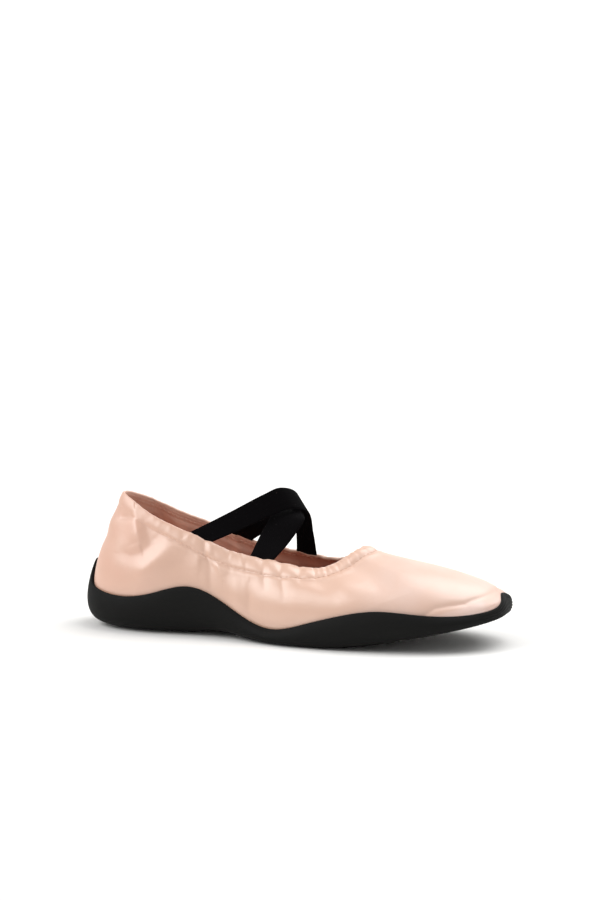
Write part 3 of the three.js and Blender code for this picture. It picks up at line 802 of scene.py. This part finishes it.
def rubber_finish(colour):
    """Moulded natural rubber from a spark-eroded mould: near black, matte, with a very fine grit."""
    material, tree = new_material("moulded_rubber_matte")
    grit = 0.5 * MM
    cloud = 18 * MM
    place = add_node(tree, "ShaderNodeTexCoord").outputs["Object"]
    fine = add_node(tree, "ShaderNodeTexNoise",
                    {"Vector": place, "Scale": 1 / grit, "Detail": 3, "Roughness": 0.6})
    bloom = add_node(tree, "ShaderNodeTexNoise", {"Vector": place, "Scale": 1 / cloud, "Detail": 4})
    bump = add_node(tree, "ShaderNodeBump",
                    {"Height": fine.outputs["Fac"], "Strength": 0.35, "Distance": 0.08 * MM})
    tint = add_node(tree, "ShaderNodeMix",
                    {"Factor": bloom.outputs["Fac"],
                     "A": shade(colour), "B": shade(colour, 1.35, 1.35, 1.35)},
                    data_type="RGBA")
    gloss = add_node(tree, "ShaderNodeMapRange",
                     {"Value": bloom.outputs["Fac"], "To Min": 0.6, "To Max": 0.75})
    shader = add_node(tree, "ShaderNodeBsdfPrincipled",
                      {"Base Color": tint.outputs["Result"], "Roughness": gloss.outputs["Result"],
                       "Normal": bump.outputs["Normal"], "IOR": 1.52, "Specular IOR Level": 0.13})
    add_node(tree, "ShaderNodeOutputMaterial", {"Surface": shader.outputs["BSDF"]})
    return material


def elastic_finish(colour):
    """Woven elastic webbing, black polyester over rubber threads: fine ribs along it and a dull sheen."""
    material, tree = new_material("woven_elastic_webbing")
    rib = 1.1 * MM
    pick = 0.7 * MM
    # At scale one a wave texture repeats every pi / 10 units, so this scale makes it one repeat a unit
    one_repeat = math.pi / 10
    cloth = add_node(tree, "ShaderNodeUVMap", uv_map="cloth")
    waves = []
    for scale, direction in (((1, 1 / rib, 1), "Y"), ((1 / pick, 1, 1), "X")):
        scaled = add_node(tree, "ShaderNodeMapping", {"Vector": cloth.outputs["UV"], "Scale": scale})
        wave = add_node(tree, "ShaderNodeTexWave",
                        {"Vector": scaled.outputs["Vector"], "Scale": one_repeat},
                        bands_direction=direction)
        waves.append(wave.outputs["Fac"])
    ribs, picks = waves
    weave = add_node(tree, "ShaderNodeMath", {0: ribs, 1: picks}, operation="ADD")
    bump = add_node(tree, "ShaderNodeBump",
                    {"Height": weave.outputs["Value"], "Strength": 0.5, "Distance": 0.15 * MM})
    tint = add_node(tree, "ShaderNodeMix",
                    {"Factor": ribs, "A": shade(colour), "B": shade(colour, 2.2, 2.2, 2.2)},
                    data_type="RGBA")
    shader = add_node(tree, "ShaderNodeBsdfPrincipled",
                      {"Base Color": tint.outputs["Result"], "Normal": bump.outputs["Normal"],
                       "Roughness": 0.8, "IOR": 1.5, "Specular IOR Level": 0.06})
    add_node(tree, "ShaderNodeOutputMaterial", {"Surface": shader.outputs["BSDF"]})
    return material


def floor_finish(colour):
    """Painted board, rolled matte: a plain pale ground."""
    material, tree = new_material("painted_board_matte")
    # Metres: the width of the faint clouds in its gloss
    patch = 1 / 3
    place = add_node(tree, "ShaderNodeTexCoord").outputs["Object"]
    cloudy = add_node(tree, "ShaderNodeTexNoise", {"Vector": place, "Scale": 1 / patch})
    gloss = add_node(tree, "ShaderNodeMapRange",
                     {"Value": cloudy.outputs["Fac"], "To Min": 0.85, "To Max": 0.95})
    shader = add_node(tree, "ShaderNodeBsdfPrincipled",
                      {"Base Color": shade(colour), "Roughness": gloss.outputs["Result"],
                       "Specular IOR Level": 0.1})
    add_node(tree, "ShaderNodeOutputMaterial", {"Surface": shader.outputs["BSDF"]})
    return material


# Sizes and colours that a user would change

def length_property(name, description, default):
    return FloatProperty(name=name, description=description, default=default, min=0, unit="LENGTH")


def colour_property(name, description, default):
    return FloatVectorProperty(name=name, description=description, default=linear(default)[:3], size=3,
                               min=0, max=1, subtype="COLOR")


def share_property(name, description):
    return FloatProperty(name=name, description=description, default=1.0, min=0, max=2, subtype="FACTOR")


class FlatSizes(bpy.types.PropertyGroup):
    """Sizes of the ballet flat"""

    last_length: length_property("Last Length", "Length of the last from heel to toe", 0.2485)
    ball_width: length_property("Ball Width", "Width of the last across the ball of the foot", 0.083)
    wall_thickness: length_property("Wall", "Thickness of the upper with its lining", 0.0016)
    casing_width: length_property("Casing Width", "Height of the casing of the collar's elastic", 0.0075)
    casing_rise: length_property("Casing Rise", "How far the casing stands out from the wall", 0.0012)
    strap_thickness: length_property("Strap Thickness", "Thickness of the elastic straps", 0.0012)
    stitch_length: length_property("Stitch Length", "Length of one stitch", 0.0021)
    gather_share: share_property("Gathers", "Share of the gathers' full height")
    fold_share: share_property("Folds", "Share of the folds' full height")


class FlatColours(bpy.types.PropertyGroup):
    """Colours of the ballet flat"""

    satin: colour_property("Satin", "Colour of the upper's satin", "#d7b09a")
    thread: colour_property("Thread", "Colour of the stitches", "#e2bfab")
    lining: colour_property("Lining", "Colour of the lining and the footbed", "#dca594")
    rubber: colour_property("Rubber", "Colour of the cup sole", "#0d0d0c")
    elastic: colour_property("Elastic", "Colour of the straps", "#030203")
    floor: colour_property("Floor", "Colour of the floor", "#f4f3f1")


def finish_piece(piece, material, slot, *nodes):
    """Gives a piece its material and hides the imported parts that it stands for. The slot is not used."""
    piece.data.materials.append(material)
    if nodes:
        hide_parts(*nodes)


# Operators

class FLAT_OT_upper(bpy.types.Operator):
    """Build the gathered satin upper with its turned edge, its lining and the stitches of both"""

    bl_idname = "ballet_flat.upper"
    bl_label = "Build Upper"

    STATIONS = 800
    CASING_ROWS = 26
    LOWER_ROWS = 76
    EDGE_ROWS = 5
    FACING_ROWS = 4
    LINING_STATIONS = 320
    LINING_ROWS = 36
    # Millimetres below the collar: the end of the closer rows over the casing, the facing, the rows over the
    # lining's binding, the step at the binding's edge, the seam along it, and the top of the plain lining
    CASING_END = 13.0
    FACING = (0.3, 1.6)
    BINDING_ROWS = np.array([0.8, 2.0, 3.2, 4.0, 4.35, 4.75])
    BINDING_STEP = (4.3, 4.8)
    BINDING_SEAM = 3.4
    LINING_TOP = 5.5
    # Millimetres: the satin's own thickness, the gap behind the lining, and how far the facing and the
    # binding stand proud of it
    SATIN = 0.8
    LINING_GAP = 0.15
    FACING_PROUD = 0.3
    BINDING_PROUD = 0.3
    # The facing swells over this part of a half turn of a sine
    FACING_SWELL = (0.2, 0.9)
    # Rows of the satin's hidden back, as shares of its height
    HIDDEN_ROWS = np.array([0.0, 0.15, 0.4, 0.7, 1.0])
    # The rolled edge: its height as a share of a half circle's, and its lengths of cloth, up to the facing
    EDGE_FLATNESS = 0.8
    EDGE_CLOTH = (0.3, 2.0)
    FACING_CLOTH = 2.5
    # The casing's seam starts this many sections from the heel's back. The pitch is in lengths of a stitch.
    STITCH_ENDS = 3.8
    STITCH_PITCH = 1.3
    STITCH_STEPS = 7
    # The thread's radius, how far out of the cloth its middle lies in radii, and the shape of its ends
    THREAD = 0.17
    THREAD_PROUD = 0.5
    THREAD_SIDES = 6
    THREAD_TAPER = 4
    THREAD_TIP = 0.02

    def execute(self, context):
        sizes = context.scene.flat_sizes
        colours = context.scene.flat_colours
        last = Last(sizes)
        drape = Drape(last, sizes)
        satin = self.satin_piece(context, last, drape)
        finish_piece(satin, satin_finish(colours.satin), "upper_satin", "upper")
        lining = self.lining_piece(context, last, drape)
        finish_piece(lining, lining_finish(colours.lining), "footbed_lining")
        thread = thread_finish(colours.thread)
        stitch = sizes.stitch_length / MM
        section = np.linspace(self.STITCH_ENDS, SECTIONS - self.STITCH_ENDS, self.STATIONS)
        seam = WallGrid(last, section, lambda length: drape.casing_at(section)[:, None])
        stitches = self.stitch_piece(context, "casing_stitches", drape, seam, 0.0, stitch)
        finish_piece(stitches, thread, "upper_satin")
        section = np.linspace(0, SECTIONS, self.STATIONS)
        seam = WallGrid(last, section, lambda length: self.BINDING_SEAM + 0 * length)
        depth = last.wall_thickness + self.BINDING_PROUD
        stitches = self.stitch_piece(context, "binding_stitches", drape, seam, depth, stitch)
        finish_piece(stitches, thread, "footbed_lining")
        return {"FINISHED"}

    def satin_piece(self, context, last, drape):
        """The satin: its outside, a rolled top edge, a facing turned inside, and its hidden back."""
        thickness = last.wall_thickness
        section = np.linspace(0, SECTIONS, self.STATIONS, endpoint=False)
        near_edge = np.linspace(0, self.CASING_END, self.CASING_ROWS)
        lower = np.linspace(0, 1, self.LOWER_ROWS + 1)[1:]

        def outer_levels(length):
            below_casing = self.CASING_END + (length - self.CASING_END) * lower
            return np.concatenate([near_edge + 0 * length, below_casing], axis=1)

        grid = WallGrid(last, section, outer_levels)
        outside = drape.place(grid, drape.shape(grid))[:, ::-1]

        edge_angle = np.linspace(0, np.pi, self.EDGE_ROWS + 2)[1:-1]
        half = thickness / 2
        middle = outside[:, -1:] - grid.normal[:, :1] * half
        rolled = middle + grid.normal[:, :1] * (half * np.cos(edge_angle))[:, None]
        rolled = rolled + grid.up[:, :1] * (self.EDGE_FLATNESS * half * np.sin(edge_angle))[:, None]
        rolled_up = np.broadcast_to(np.linspace(*self.EDGE_CLOTH, self.EDGE_ROWS), rolled.shape[:2])

        facing = np.linspace(*self.FACING, self.FACING_ROWS)
        facing_end = self.FACING[1]

        def inner_levels(length):
            hidden = facing_end + (length - facing_end) * self.HIDDEN_ROWS
            return np.concatenate([facing + 0 * length, hidden], axis=1)

        inner = WallGrid(last, section, inner_levels)
        swell = np.sin(np.pi * np.linspace(*self.FACING_SWELL, self.FACING_ROWS))
        hidden_back = np.full(len(self.HIDDEN_ROWS), self.SATIN - thickness)
        proud = np.concatenate([self.FACING_PROUD * swell, hidden_back])
        inside = drape.place(inner, drape.shape(inner), thickness + proud)
        rows = np.concatenate([outside, rolled, inside], axis=1)
        up = np.concatenate([-grid.below[:, ::-1], rolled_up, self.FACING_CLOTH + inner.below], axis=1)
        return ring_piece(context, "satin_upper", rows, last.around(section), up)

    def lining_piece(self, context, last, drape):
        """The lining: a thin wall inside the satin, from under the facing down to the footbed."""
        section = np.linspace(0, SECTIONS, self.LINING_STATIONS, endpoint=False)
        share = np.linspace(0, 1, self.LINING_ROWS)

        def levels(length):
            plain = self.LINING_TOP + (length - self.LINING_TOP) * share
            return np.concatenate([self.BINDING_ROWS + 0 * length, plain], axis=1)

        grid = WallGrid(last, section, levels)
        shape = drape.shape(grid)
        proud = self.BINDING_PROUD * (1 - smoothstep(grid.below, *self.BINDING_STEP))
        face = drape.place(grid, shape, last.wall_thickness + proud)
        back = drape.place(grid, shape, self.SATIN + self.LINING_GAP)
        rows = np.concatenate([face, back[:, ::-1]], axis=1)
        up = np.concatenate([grid.below, -grid.below[:, ::-1]], axis=1)
        return ring_piece(context, "lining", rows, last.around(section), up)

    def stitch_piece(self, context, name, drape, grid, depth, length):
        """Stitches along a seam of the wall, as short rounded threads. At a depth they face the foot."""
        seam = drape.place(grid, drape.shape(grid), depth)[:, 0]
        facing = grid.normal[:, 0] * (-1 if depth else 1)
        run = lengths_along(seam)
        turn = np.linspace(0, 2 * np.pi, self.THREAD_SIDES, endpoint=False)
        share = np.linspace(0, 1, self.STITCH_STEPS)
        taper = np.sqrt(np.clip(1 - (2 * share - 1) ** self.THREAD_TAPER, self.THREAD_TIP, None))
        radius = self.THREAD * taper[:, None, None]
        shell = Shell()
        for start in np.arange(0, run[-1] - length, length * self.STITCH_PITCH):
            at = start + share * length
            line = np.stack([np.interp(at, run, seam[:, k]) for k in range(3)], -1)
            out = unit(np.stack([np.interp(at, run, facing[:, k]) for k in range(3)], -1))
            side = unit(np.cross(out, np.gradient(line, axis=0)))
            across = side[:, None] * np.cos(turn)[:, None] + out[:, None] * np.sin(turn)[:, None]
            middle = line + out * self.THREAD_PROUD * self.THREAD
            shell.tube(middle[:, None] + across * radius, inside_out=False)
        return shell.piece(context, name)


class FLAT_OT_sole(bpy.types.Operator):
    """Build the moulded rubber cup sole with its wavy lip, toe rim lines and tread"""

    bl_idname = "ballet_flat.sole"
    bl_label = "Build Cup Sole"

    STATIONS = 960
    SIDE_ROWS = 30
    LIP_ROWS = 5
    INNER_ROWS = 5
    # Columns across the sole as shares of its width: on the seat, near the tread's rim, and on the tread
    SEAT_COLUMNS = np.array([0.25, 0.5, 0.75])
    RIM_COLUMNS = np.array([0.006, 0.014])
    TREAD_COLUMNS = np.linspace(0.025, 0.975, 40)
    # How often the search for the sole's edge on the upper's wall is halved
    HALVINGS = 24
    # The lip's height as a share of a half circle's
    LIP_FLATNESS = 0.6
    # Fine lines round the toe: their places and half-width as shares of the way up the side, their depth,
    # and the shares of the length between which they appear
    RIM_LINES = (0.42, 0.56, 0.7, 0.84)
    RIM_WIDTH = 0.028
    RIM_DEPTH = 0.45
    RIM_START = (0.93, 0.985)
    # Millimetres: the slopes of a pad's sides and ends, and its wavy grooves
    PAD_SIDE = (0.6, 1.5)
    PAD_END = 1
    GROOVE_PITCH = 6.5
    GROOVE_WIDTH = 0.9
    GROOVE_DEPTH = 0.7
    GROOVE_POWER = 4
    GROOVE_ENDS = (4, 6)
    WAVE_HEIGHT = 1.6
    WAVE_LENGTH = 5.5

    def execute(self, context):
        last = Last(context.scene.flat_sizes)
        section = np.linspace(0, SECTIONS, self.STATIONS, endpoint=False)
        shell = Shell()
        rows = self.side_rows(last, section)
        numbers = shell.sides(rows)
        across = np.concatenate([self.RIM_COLUMNS, self.TREAD_COLUMNS, 1 - self.RIM_COLUMNS[::-1]])

        def seat(points, share):
            return last.seat_z(points[:, 0])

        def tread(points, share):
            return self.tread(last, points, share)

        shell.lid(rows[:, -1], numbers[:, -1], self.SEAT_COLUMNS, seat, True)
        shell.lid(rows[:, 0], numbers[:, 0], across, tread, False)
        piece = shell.piece(context, "moulded_cup_sole")
        finish_piece(piece, rubber_finish(context.scene.flat_colours.rubber), "sole_rubber", "cup_sole")
        return {"FINISHED"}

    def side_rows(self, last, section):
        """Rows from the tread's rim up the bulging side, over the lip and down inside to the seat."""
        distance = last.distance(section)
        outward = last.outward(distance)
        outline = last.outline(distance)
        wall = last.wall(distance)
        edge = last.at["edge"](distance)
        low, high = np.zeros(len(section)), np.ones(len(section))
        for _ in range(self.HALVINGS):
            half = (low + high) / 2
            below = bezier(wall, half[:, None])[:, 0, 2] < edge
            low, high = np.where(below, half, low), np.where(below, high, half)
        tread = outline - outward * (TURN_IN + last.at["tuck"](distance))[:, None]
        tread[:, 2] = last.tread_z(tread[:, 0], tread[:, 1] > 0) + TREAD_STEP
        lip = bezier(wall, low[:, None])[:, 0] + outward * (GAP + LIP)
        belly = outline + outward * last.at["bulge"](distance)[:, None]
        belly_foot, belly_top = belly.copy(), belly.copy()
        belly_foot[:, 2] = tread[:, 2]
        belly_top[:, 2] = lip[:, 2] + (tread[:, 2] - lip[:, 2]) * BELLY_SHARE
        share = np.broadcast_to(np.linspace(0, 1, self.SIDE_ROWS), (len(section), self.SIDE_ROWS))
        side = bezier((tread, belly_foot, belly_top, lip), share)
        side = side - outward[:, None] * self.rim_lines(last, side, share)[..., None]
        turn = np.linspace(0, np.pi, self.LIP_ROWS + 1)[1:]
        rounded = (lip - outward * LIP / 2)[:, None] + outward[:, None] * (LIP / 2 * np.cos(turn))[:, None]
        rounded[..., 2] += self.LIP_FLATNESS * LIP / 2 * np.sin(turn)
        down = low[:, None] * np.linspace(1, 0, self.INNER_ROWS + 1)[1:]
        inner = bezier(wall, down) + outward[:, None] * GAP
        inner[:, -1, 2] = last.seat_z(inner[:, -1, 0])
        return np.concatenate([side, rounded, inner], axis=1)

    def rim_lines(self, last, side, share):
        """Depth of the fine lines that run round the toe's rim."""
        start, end = self.RIM_START
        near_tip = smoothstep(side[..., 0], start * last.length, end * last.length)
        return self.RIM_DEPTH * near_tip * sum(bell(share - line, self.RIM_WIDTH) for line in self.RIM_LINES)

    def tread(self, last, points, share):
        """Height of the tread: two raised pads with wavy grooves across them."""
        x, y = points[:, 0], points[:, 1]
        half_width = np.abs(points[-1, 1] - points[0, 1]) / 2
        from_edge = half_width * (1 - np.abs(2 * share - 1))
        inside = smoothstep(from_edge, *self.PAD_SIDE)
        on_pad = np.zeros(len(x))
        for start, end in TREAD_PADS:
            past_start = smoothstep(x, start, start + self.PAD_END)
            past_end = smoothstep(x, end - self.PAD_END, end)
            on_pad += past_start * (1 - past_end)
        wave = x + self.WAVE_HEIGHT * np.sin(y / self.WAVE_LENGTH)
        gap = np.abs(np.mod(wave, self.GROOVE_PITCH) - self.GROOVE_PITCH / 2)
        groove = self.GROOVE_DEPTH * np.exp(-(gap / self.GROOVE_WIDTH) ** self.GROOVE_POWER)
        groove = groove * smoothstep(from_edge, *self.GROOVE_ENDS)
        raised = inside * on_pad
        return last.tread_z(x, share) + TREAD_STEP * (1 - raised) + groove * raised


class FLAT_OT_footbed(bpy.types.Operator):
    """Build the footbed inside the shoe"""

    bl_idname = "ballet_flat.footbed"
    bl_label = "Build Footbed"

    STATIONS = 320
    COLUMNS = 12
    EDGE_ROWS = 5
    # Millimetres: the rounding of its edge, and how far it is dished, in a sine made flatter by a power
    EDGE_ROUND = 0.8
    DISH = 0.7
    DISH_POWER = 0.7

    def execute(self, context):
        last = Last(context.scene.flat_sizes)
        section = np.linspace(0, SECTIONS, self.STATIONS, endpoint=False)
        distance = last.distance(section)
        outward = last.outward(distance)
        outline = last.outline(distance)
        inset = TURN_IN + last.wall_thickness + INSOLE_CLEARANCE
        profile = [(0, 0)]
        for angle in np.linspace(0, np.pi / 2, self.EDGE_ROWS):
            out = -self.EDGE_ROUND * (1 - math.cos(angle))
            profile.append((out, INSOLE_THICKNESS - self.EDGE_ROUND * (1 - math.sin(angle))))
        rows = []
        for out, lift in profile:
            row = outline + outward * (out - inset)
            row[:, 2] = last.seat_z(row[:, 0]) + GAP + lift
            rows.append(row)
        rows = np.stack(rows, axis=1)
        shell = Shell()
        numbers = shell.sides(rows)
        across = np.linspace(0, 1, self.COLUMNS + 2)[1:-1]

        def underside(points, share):
            return last.seat_z(points[:, 0]) + GAP

        def dished(points, share):
            dish = self.DISH * np.sin(np.pi * share) ** self.DISH_POWER
            return underside(points, share) + INSOLE_THICKNESS - dish

        shell.lid(rows[:, -1], numbers[:, -1], across, dished, True)
        shell.lid(rows[:, 0], numbers[:, 0], across, underside, False)
        piece = shell.piece(context, "footbed")
        material = lining_finish(context.scene.flat_colours.lining)
        finish_piece(piece, material, "footbed_lining", "insole")
        return {"FINISHED"}


def rounded_curve(points, share):
    """A smooth curve through points, at shares of their count. It keeps close to them at sharp turns."""
    ends = np.concatenate([[2 * points[0] - points[1]], points, [2 * points[-1] - points[-2]]])
    step = np.sqrt(np.linalg.norm(np.diff(ends, axis=0), axis=1))
    place = share * (len(points) - 1)
    k = np.minimum(place.astype(int), len(points) - 2)
    t = (place - k)[:, None]
    p0, p1, p2, p3 = (ends[k + n] for n in range(4))
    d0, d1, d2 = (step[k + n][:, None] for n in range(3))
    start = ((p1 - p0) / d0 - (p2 - p0) / (d0 + d1) + (p2 - p1) / d1) * d1
    end = ((p2 - p1) / d1 - (p3 - p1) / (d1 + d2) + (p3 - p2) / d2) * d1
    curve = p1 + start * t + (3 * (p2 - p1) - 2 * start - end) * t ** 2
    return curve + (2 * (p1 - p2) + start + end) * t ** 3


class FLAT_OT_straps(bpy.types.Operator):
    """Build the two elastic straps that cross over the instep"""

    bl_idname = "ballet_flat.straps"
    bl_label = "Build Straps"

    STEPS = 180
    SIDE_COLUMNS = 5
    FLAT_COLUMNS = 8
    # The ends run into the wall at the collar and follow its gathers. In millimetres: how deep in the wall
    # they lie, how far below its edge they end, and over what length of the strap they settle into it.
    SEWN_DEPTH = 1.0
    SEWN_BELOW = 1.5
    SETTLE = 9.0

    def execute(self, context):
        sizes = context.scene.flat_sizes
        last = Last(sizes)
        drape = Drape(last, sizes)
        material = elastic_finish(context.scene.flat_colours.elastic)
        for node, edges in STRAPS.items():
            piece = self.band(context, node + "_elastic", last, drape, edges, sizes.strap_thickness / MM)
            finish_piece(piece, material, "strap_elastic", node)
        return {"FINISHED"}

    def edge(self, last, row):
        """One edge of a strap, over the instep from collar to collar."""
        start, end = (last.wall_point(row[key], 0) for key in ("outer_end", "inner_end"))
        return rounded_curve(np.array([start, *row["over"], end], float), np.linspace(0, 1, self.STEPS))

    def sewn_row(self, last, drape, ends, parts, levels, below):
        """Points across a strap where it is sewn into the wall, at a length below the collar."""
        section = ends[0] + (ends[1] - ends[0]) * parts
        grid = WallGrid(last, section, lambda length: below + 0 * length)
        middle = drape.place(grid, drape.shape(grid), self.SEWN_DEPTH)[:, 0]
        return middle + grid.normal[:, 0] * levels[:, None]

    def band(self, context, name, last, drape, edges, thickness):
        """A flat band between its two edges, with rounded sides."""
        half = thickness / 2
        rear, front = (self.edge(last, row) for row in edges)
        width = np.linalg.norm(front - rear, axis=1, keepdims=True)
        across = (front - rear) / width
        run = np.gradient(rear, axis=0) + np.gradient(front, axis=0)
        out = unit(np.cross(across, run))
        turn = np.linspace(0, np.pi, self.SIDE_COLUMNS)
        flat = np.linspace(0, 1, self.FLAT_COLUMNS + 2)[1:-1]
        section = [(half * (1 - math.sin(a)), 0, -half * math.cos(a)) for a in turn]
        section += [(0, part, half) for part in flat]
        section += [(-half * (1 - math.sin(a)), 1, half * math.cos(a)) for a in turn]
        section += [(0, 1 - part, -half) for part in flat]
        insets, parts, levels = np.array(section).T
        sides = insets + width * parts
        rows = rear[:, None] + across[:, None] * sides[..., None] + out[:, None] * levels[:, None]
        lengths = lengths_along(rear)
        hems = []
        for end, key in ((0, "outer_end"), (-1, "inner_end")):
            ends = [row[key] for row in edges]
            gap = self.sewn_row(last, drape, ends, parts, levels, 0.0) - rows[end]
            settled = smoothstep(np.abs(lengths - lengths[end]), 0, self.SETTLE)
            rows = rows + gap * (1 - settled)[:, None, None]
            hems.append(self.sewn_row(last, drape, ends, parts, levels, self.SEWN_BELOW)[None])
        rows = np.concatenate([hems[0], rows, hems[1]])
        lengths = np.concatenate([[-self.SEWN_BELOW], lengths, [lengths[-1] + self.SEWN_BELOW]])
        sides = np.concatenate([sides[:1], sides, sides[-1:]])
        shell = Shell()
        shell.tube(rows, inside_out=True)
        piece = shell.piece(context, name)
        cloth = np.stack([np.broadcast_to(lengths[:, None], sides.shape), sides], -1).reshape(-1, 2) * MM
        layer = piece.data.uv_layers.new(name="cloth")
        corners = np.zeros(len(piece.data.loops), int)
        piece.data.loops.foreach_get("vertex_index", corners)
        layer.uv.foreach_set("vector", cloth[corners].astype(np.float32).ravel())
        return piece


class FLAT_OT_stage(bpy.types.Operator):
    """Set up the floor, the soft lights and the camera"""

    bl_idname = "ballet_flat.stage"
    bl_label = "Set Up Stage"

    AZIMUTH = math.radians(18)
    ELEVATION = math.radians(7.7)
    LENS = 120.0
    SENSOR = 36.0
    # The photograph's size in pixels, the point of the last that is aimed at, in millimetres, its pixel, and
    # its distance from the camera in millimetres
    IMAGE = (600, 900)
    AIM = np.array([125.0, 0.0, 30.0])
    AIM_PIXEL = (299.7, 580.8)
    AIM_DISTANCE = 1714.3
    # Metres: the floor runs back and curves up into a wall behind the shoe
    SWEEP_WIDTH = 16.0
    SWEEP_FRONT = -6.0
    SWEEP_BACK = 4.0
    SWEEP_ROUND = 2.0
    SWEEP_HEIGHT = 6.0
    SWEEP_STEPS = 24
    # The strength of the even light, the soft light from the left, and the area lights in metres and watts
    AMBIENT = 0.53
    SUN = dict(strength=1.75, angle=math.radians(45), elevation=math.radians(38), azimuth=math.radians(-61))
    LIGHTS = [
        dict(name="overhead_softbox", place=(0.34, 0.35, 0.77), aim=(0.07, 0, 0.03),
             size=(0.85, 0.85), power=7.2),
        dict(name="background_wash", place=(-1.0, 3.0, 2.5), aim=(-1.6, 4.9, 0.2),
             size=(4.0, 1.5), power=120.0),
    ]

    def execute(self, context):
        self.floor(context)
        self.lights(context)
        self.camera(context)
        context.scene.view_settings.view_transform = "Standard"
        return {"FINISHED"}

    def floor(self, context):
        """A pale floor that curves up behind the shoe, turned to face the camera."""
        turn = np.linspace(0, np.pi / 2, self.SWEEP_STEPS)
        depth = self.SWEEP_BACK + self.SWEEP_ROUND * np.sin(turn)
        height = self.SWEEP_ROUND * (1 - np.cos(turn))
        depth = np.concatenate([[self.SWEEP_FRONT], depth, depth[-1:]])
        height = np.concatenate([[0], height, [self.SWEEP_HEIGHT]])
        sin_a, cos_a = math.sin(self.AZIMUTH), math.cos(self.AZIMUTH)
        points = []
        for side in (-self.SWEEP_WIDTH / 2, self.SWEEP_WIDTH / 2):
            for back, up in zip(depth, height):
                points.append((side * cos_a - back * sin_a, side * sin_a + back * cos_a, up))
        count = len(depth)
        faces = [(k, count + k, count + k + 1, k + 1) for k in range(count - 1)]
        mesh = bpy.data.meshes.new("floor")
        mesh.from_pydata(points, [], faces)
        mesh.shade_smooth()
        mesh.materials.append(floor_finish(context.scene.flat_colours.floor))
        floor = bpy.data.objects.new("floor", mesh)
        context.scene.collection.objects.link(floor)

    def lights(self, context):
        """Even ambient light, a soft one from the left, a softbox overhead and a wash on the backdrop."""
        world = bpy.data.worlds.new("studio")
        world.use_nodes = True
        background = world.node_tree.nodes["Background"]
        background.inputs["Color"].default_value = (1, 1, 1, 1)
        background.inputs["Strength"].default_value = self.AMBIENT
        context.scene.world = world
        lamp = bpy.data.lights.new("front_diffuser", "SUN")
        lamp.energy = self.SUN["strength"]
        lamp.angle = self.SUN["angle"]
        sun = bpy.data.objects.new("front_diffuser", lamp)
        flat = math.cos(self.SUN["elevation"])
        towards = Vector((flat * math.sin(self.SUN["azimuth"]), -flat * math.cos(self.SUN["azimuth"]),
                          math.sin(self.SUN["elevation"])))
        sun.rotation_euler = towards.to_track_quat("Z", "Y").to_euler()
        context.scene.collection.objects.link(sun)
        for row in self.LIGHTS:
            lamp = bpy.data.lights.new(row["name"], "AREA")
            lamp.shape = "RECTANGLE"
            lamp.size, lamp.size_y = row["size"]
            lamp.energy = row["power"]
            light = bpy.data.objects.new(row["name"], lamp)
            light.location = row["place"]
            light.rotation_euler = (Vector(row["aim"]) - light.location).to_track_quat("-Z", "Y").to_euler()
            context.scene.collection.objects.link(light)

    def camera(self, context):
        """The camera looks at the shoe at the photograph's angle, with the aim point on its pixel."""
        sin_a, cos_a = math.sin(self.AZIMUTH), math.cos(self.AZIMUTH)
        sin_e, cos_e = math.sin(self.ELEVATION), math.cos(self.ELEVATION)
        right = Vector((cos_a, sin_a, 0))
        up = Vector((-sin_a * sin_e, cos_a * sin_e, cos_e))
        back = Vector((sin_a * cos_e, -cos_a * cos_e, sin_e))
        focal = self.LENS / self.SENSOR * self.IMAGE[1]
        distance = self.AIM_DISTANCE * MM
        aim = Vector((self.AIM + LAST_ORIGIN) * MM)
        across = (self.AIM_PIXEL[0] - self.IMAGE[0] / 2) * distance / focal
        rise = (self.IMAGE[1] / 2 - self.AIM_PIXEL[1]) * distance / focal
        data = bpy.data.cameras.new("camera")
        data.lens = self.LENS
        data.sensor_width = self.SENSOR
        camera = bpy.data.objects.new("camera", data)
        turn = Matrix((right, up, back)).transposed().to_4x4()
        camera.matrix_world = Matrix.Translation(aim - right * across - up * rise + back * distance) @ turn
        context.scene.collection.objects.link(camera)
        context.scene.camera = camera


class FLAT_PT_panel(bpy.types.Panel):
    """Sizes, colours and pieces of the ballet flat"""

    bl_idname = "FLAT_PT_panel"
    bl_label = "Ballet Flat"
    bl_space_type = "VIEW_3D"
    bl_region_type = "UI"
    bl_category = "Ballet Flat"

    def draw(self, context):
        for group in (context.scene.flat_sizes, context.scene.flat_colours):
            column = self.layout.column()
            for name in group.__annotations__:
                column.prop(group, name)
        for operator in OPERATORS:
            self.layout.operator(operator.bl_idname)


OPERATORS = (FLAT_OT_upper, FLAT_OT_sole, FLAT_OT_footbed, FLAT_OT_straps, FLAT_OT_stage)
CLASSES = (FlatSizes, FlatColours) + OPERATORS + (FLAT_PT_panel,)


def register():
    for item in CLASSES:
        bpy.utils.register_class(item)
    bpy.types.Scene.flat_sizes = PointerProperty(type=FlatSizes)
    bpy.types.Scene.flat_colours = PointerProperty(type=FlatColours)


def unregister():
    del bpy.types.Scene.flat_colours
    del bpy.types.Scene.flat_sizes
    for item in reversed(CLASSES):
        bpy.utils.unregister_class(item)


def main():
    register()
    bpy.ops.ballet_flat.upper()
    bpy.ops.ballet_flat.sole()
    bpy.ops.ballet_flat.footbed()
    bpy.ops.ballet_flat.straps()
    bpy.ops.ballet_flat.stage()


if __name__ == "__main__":
    main()
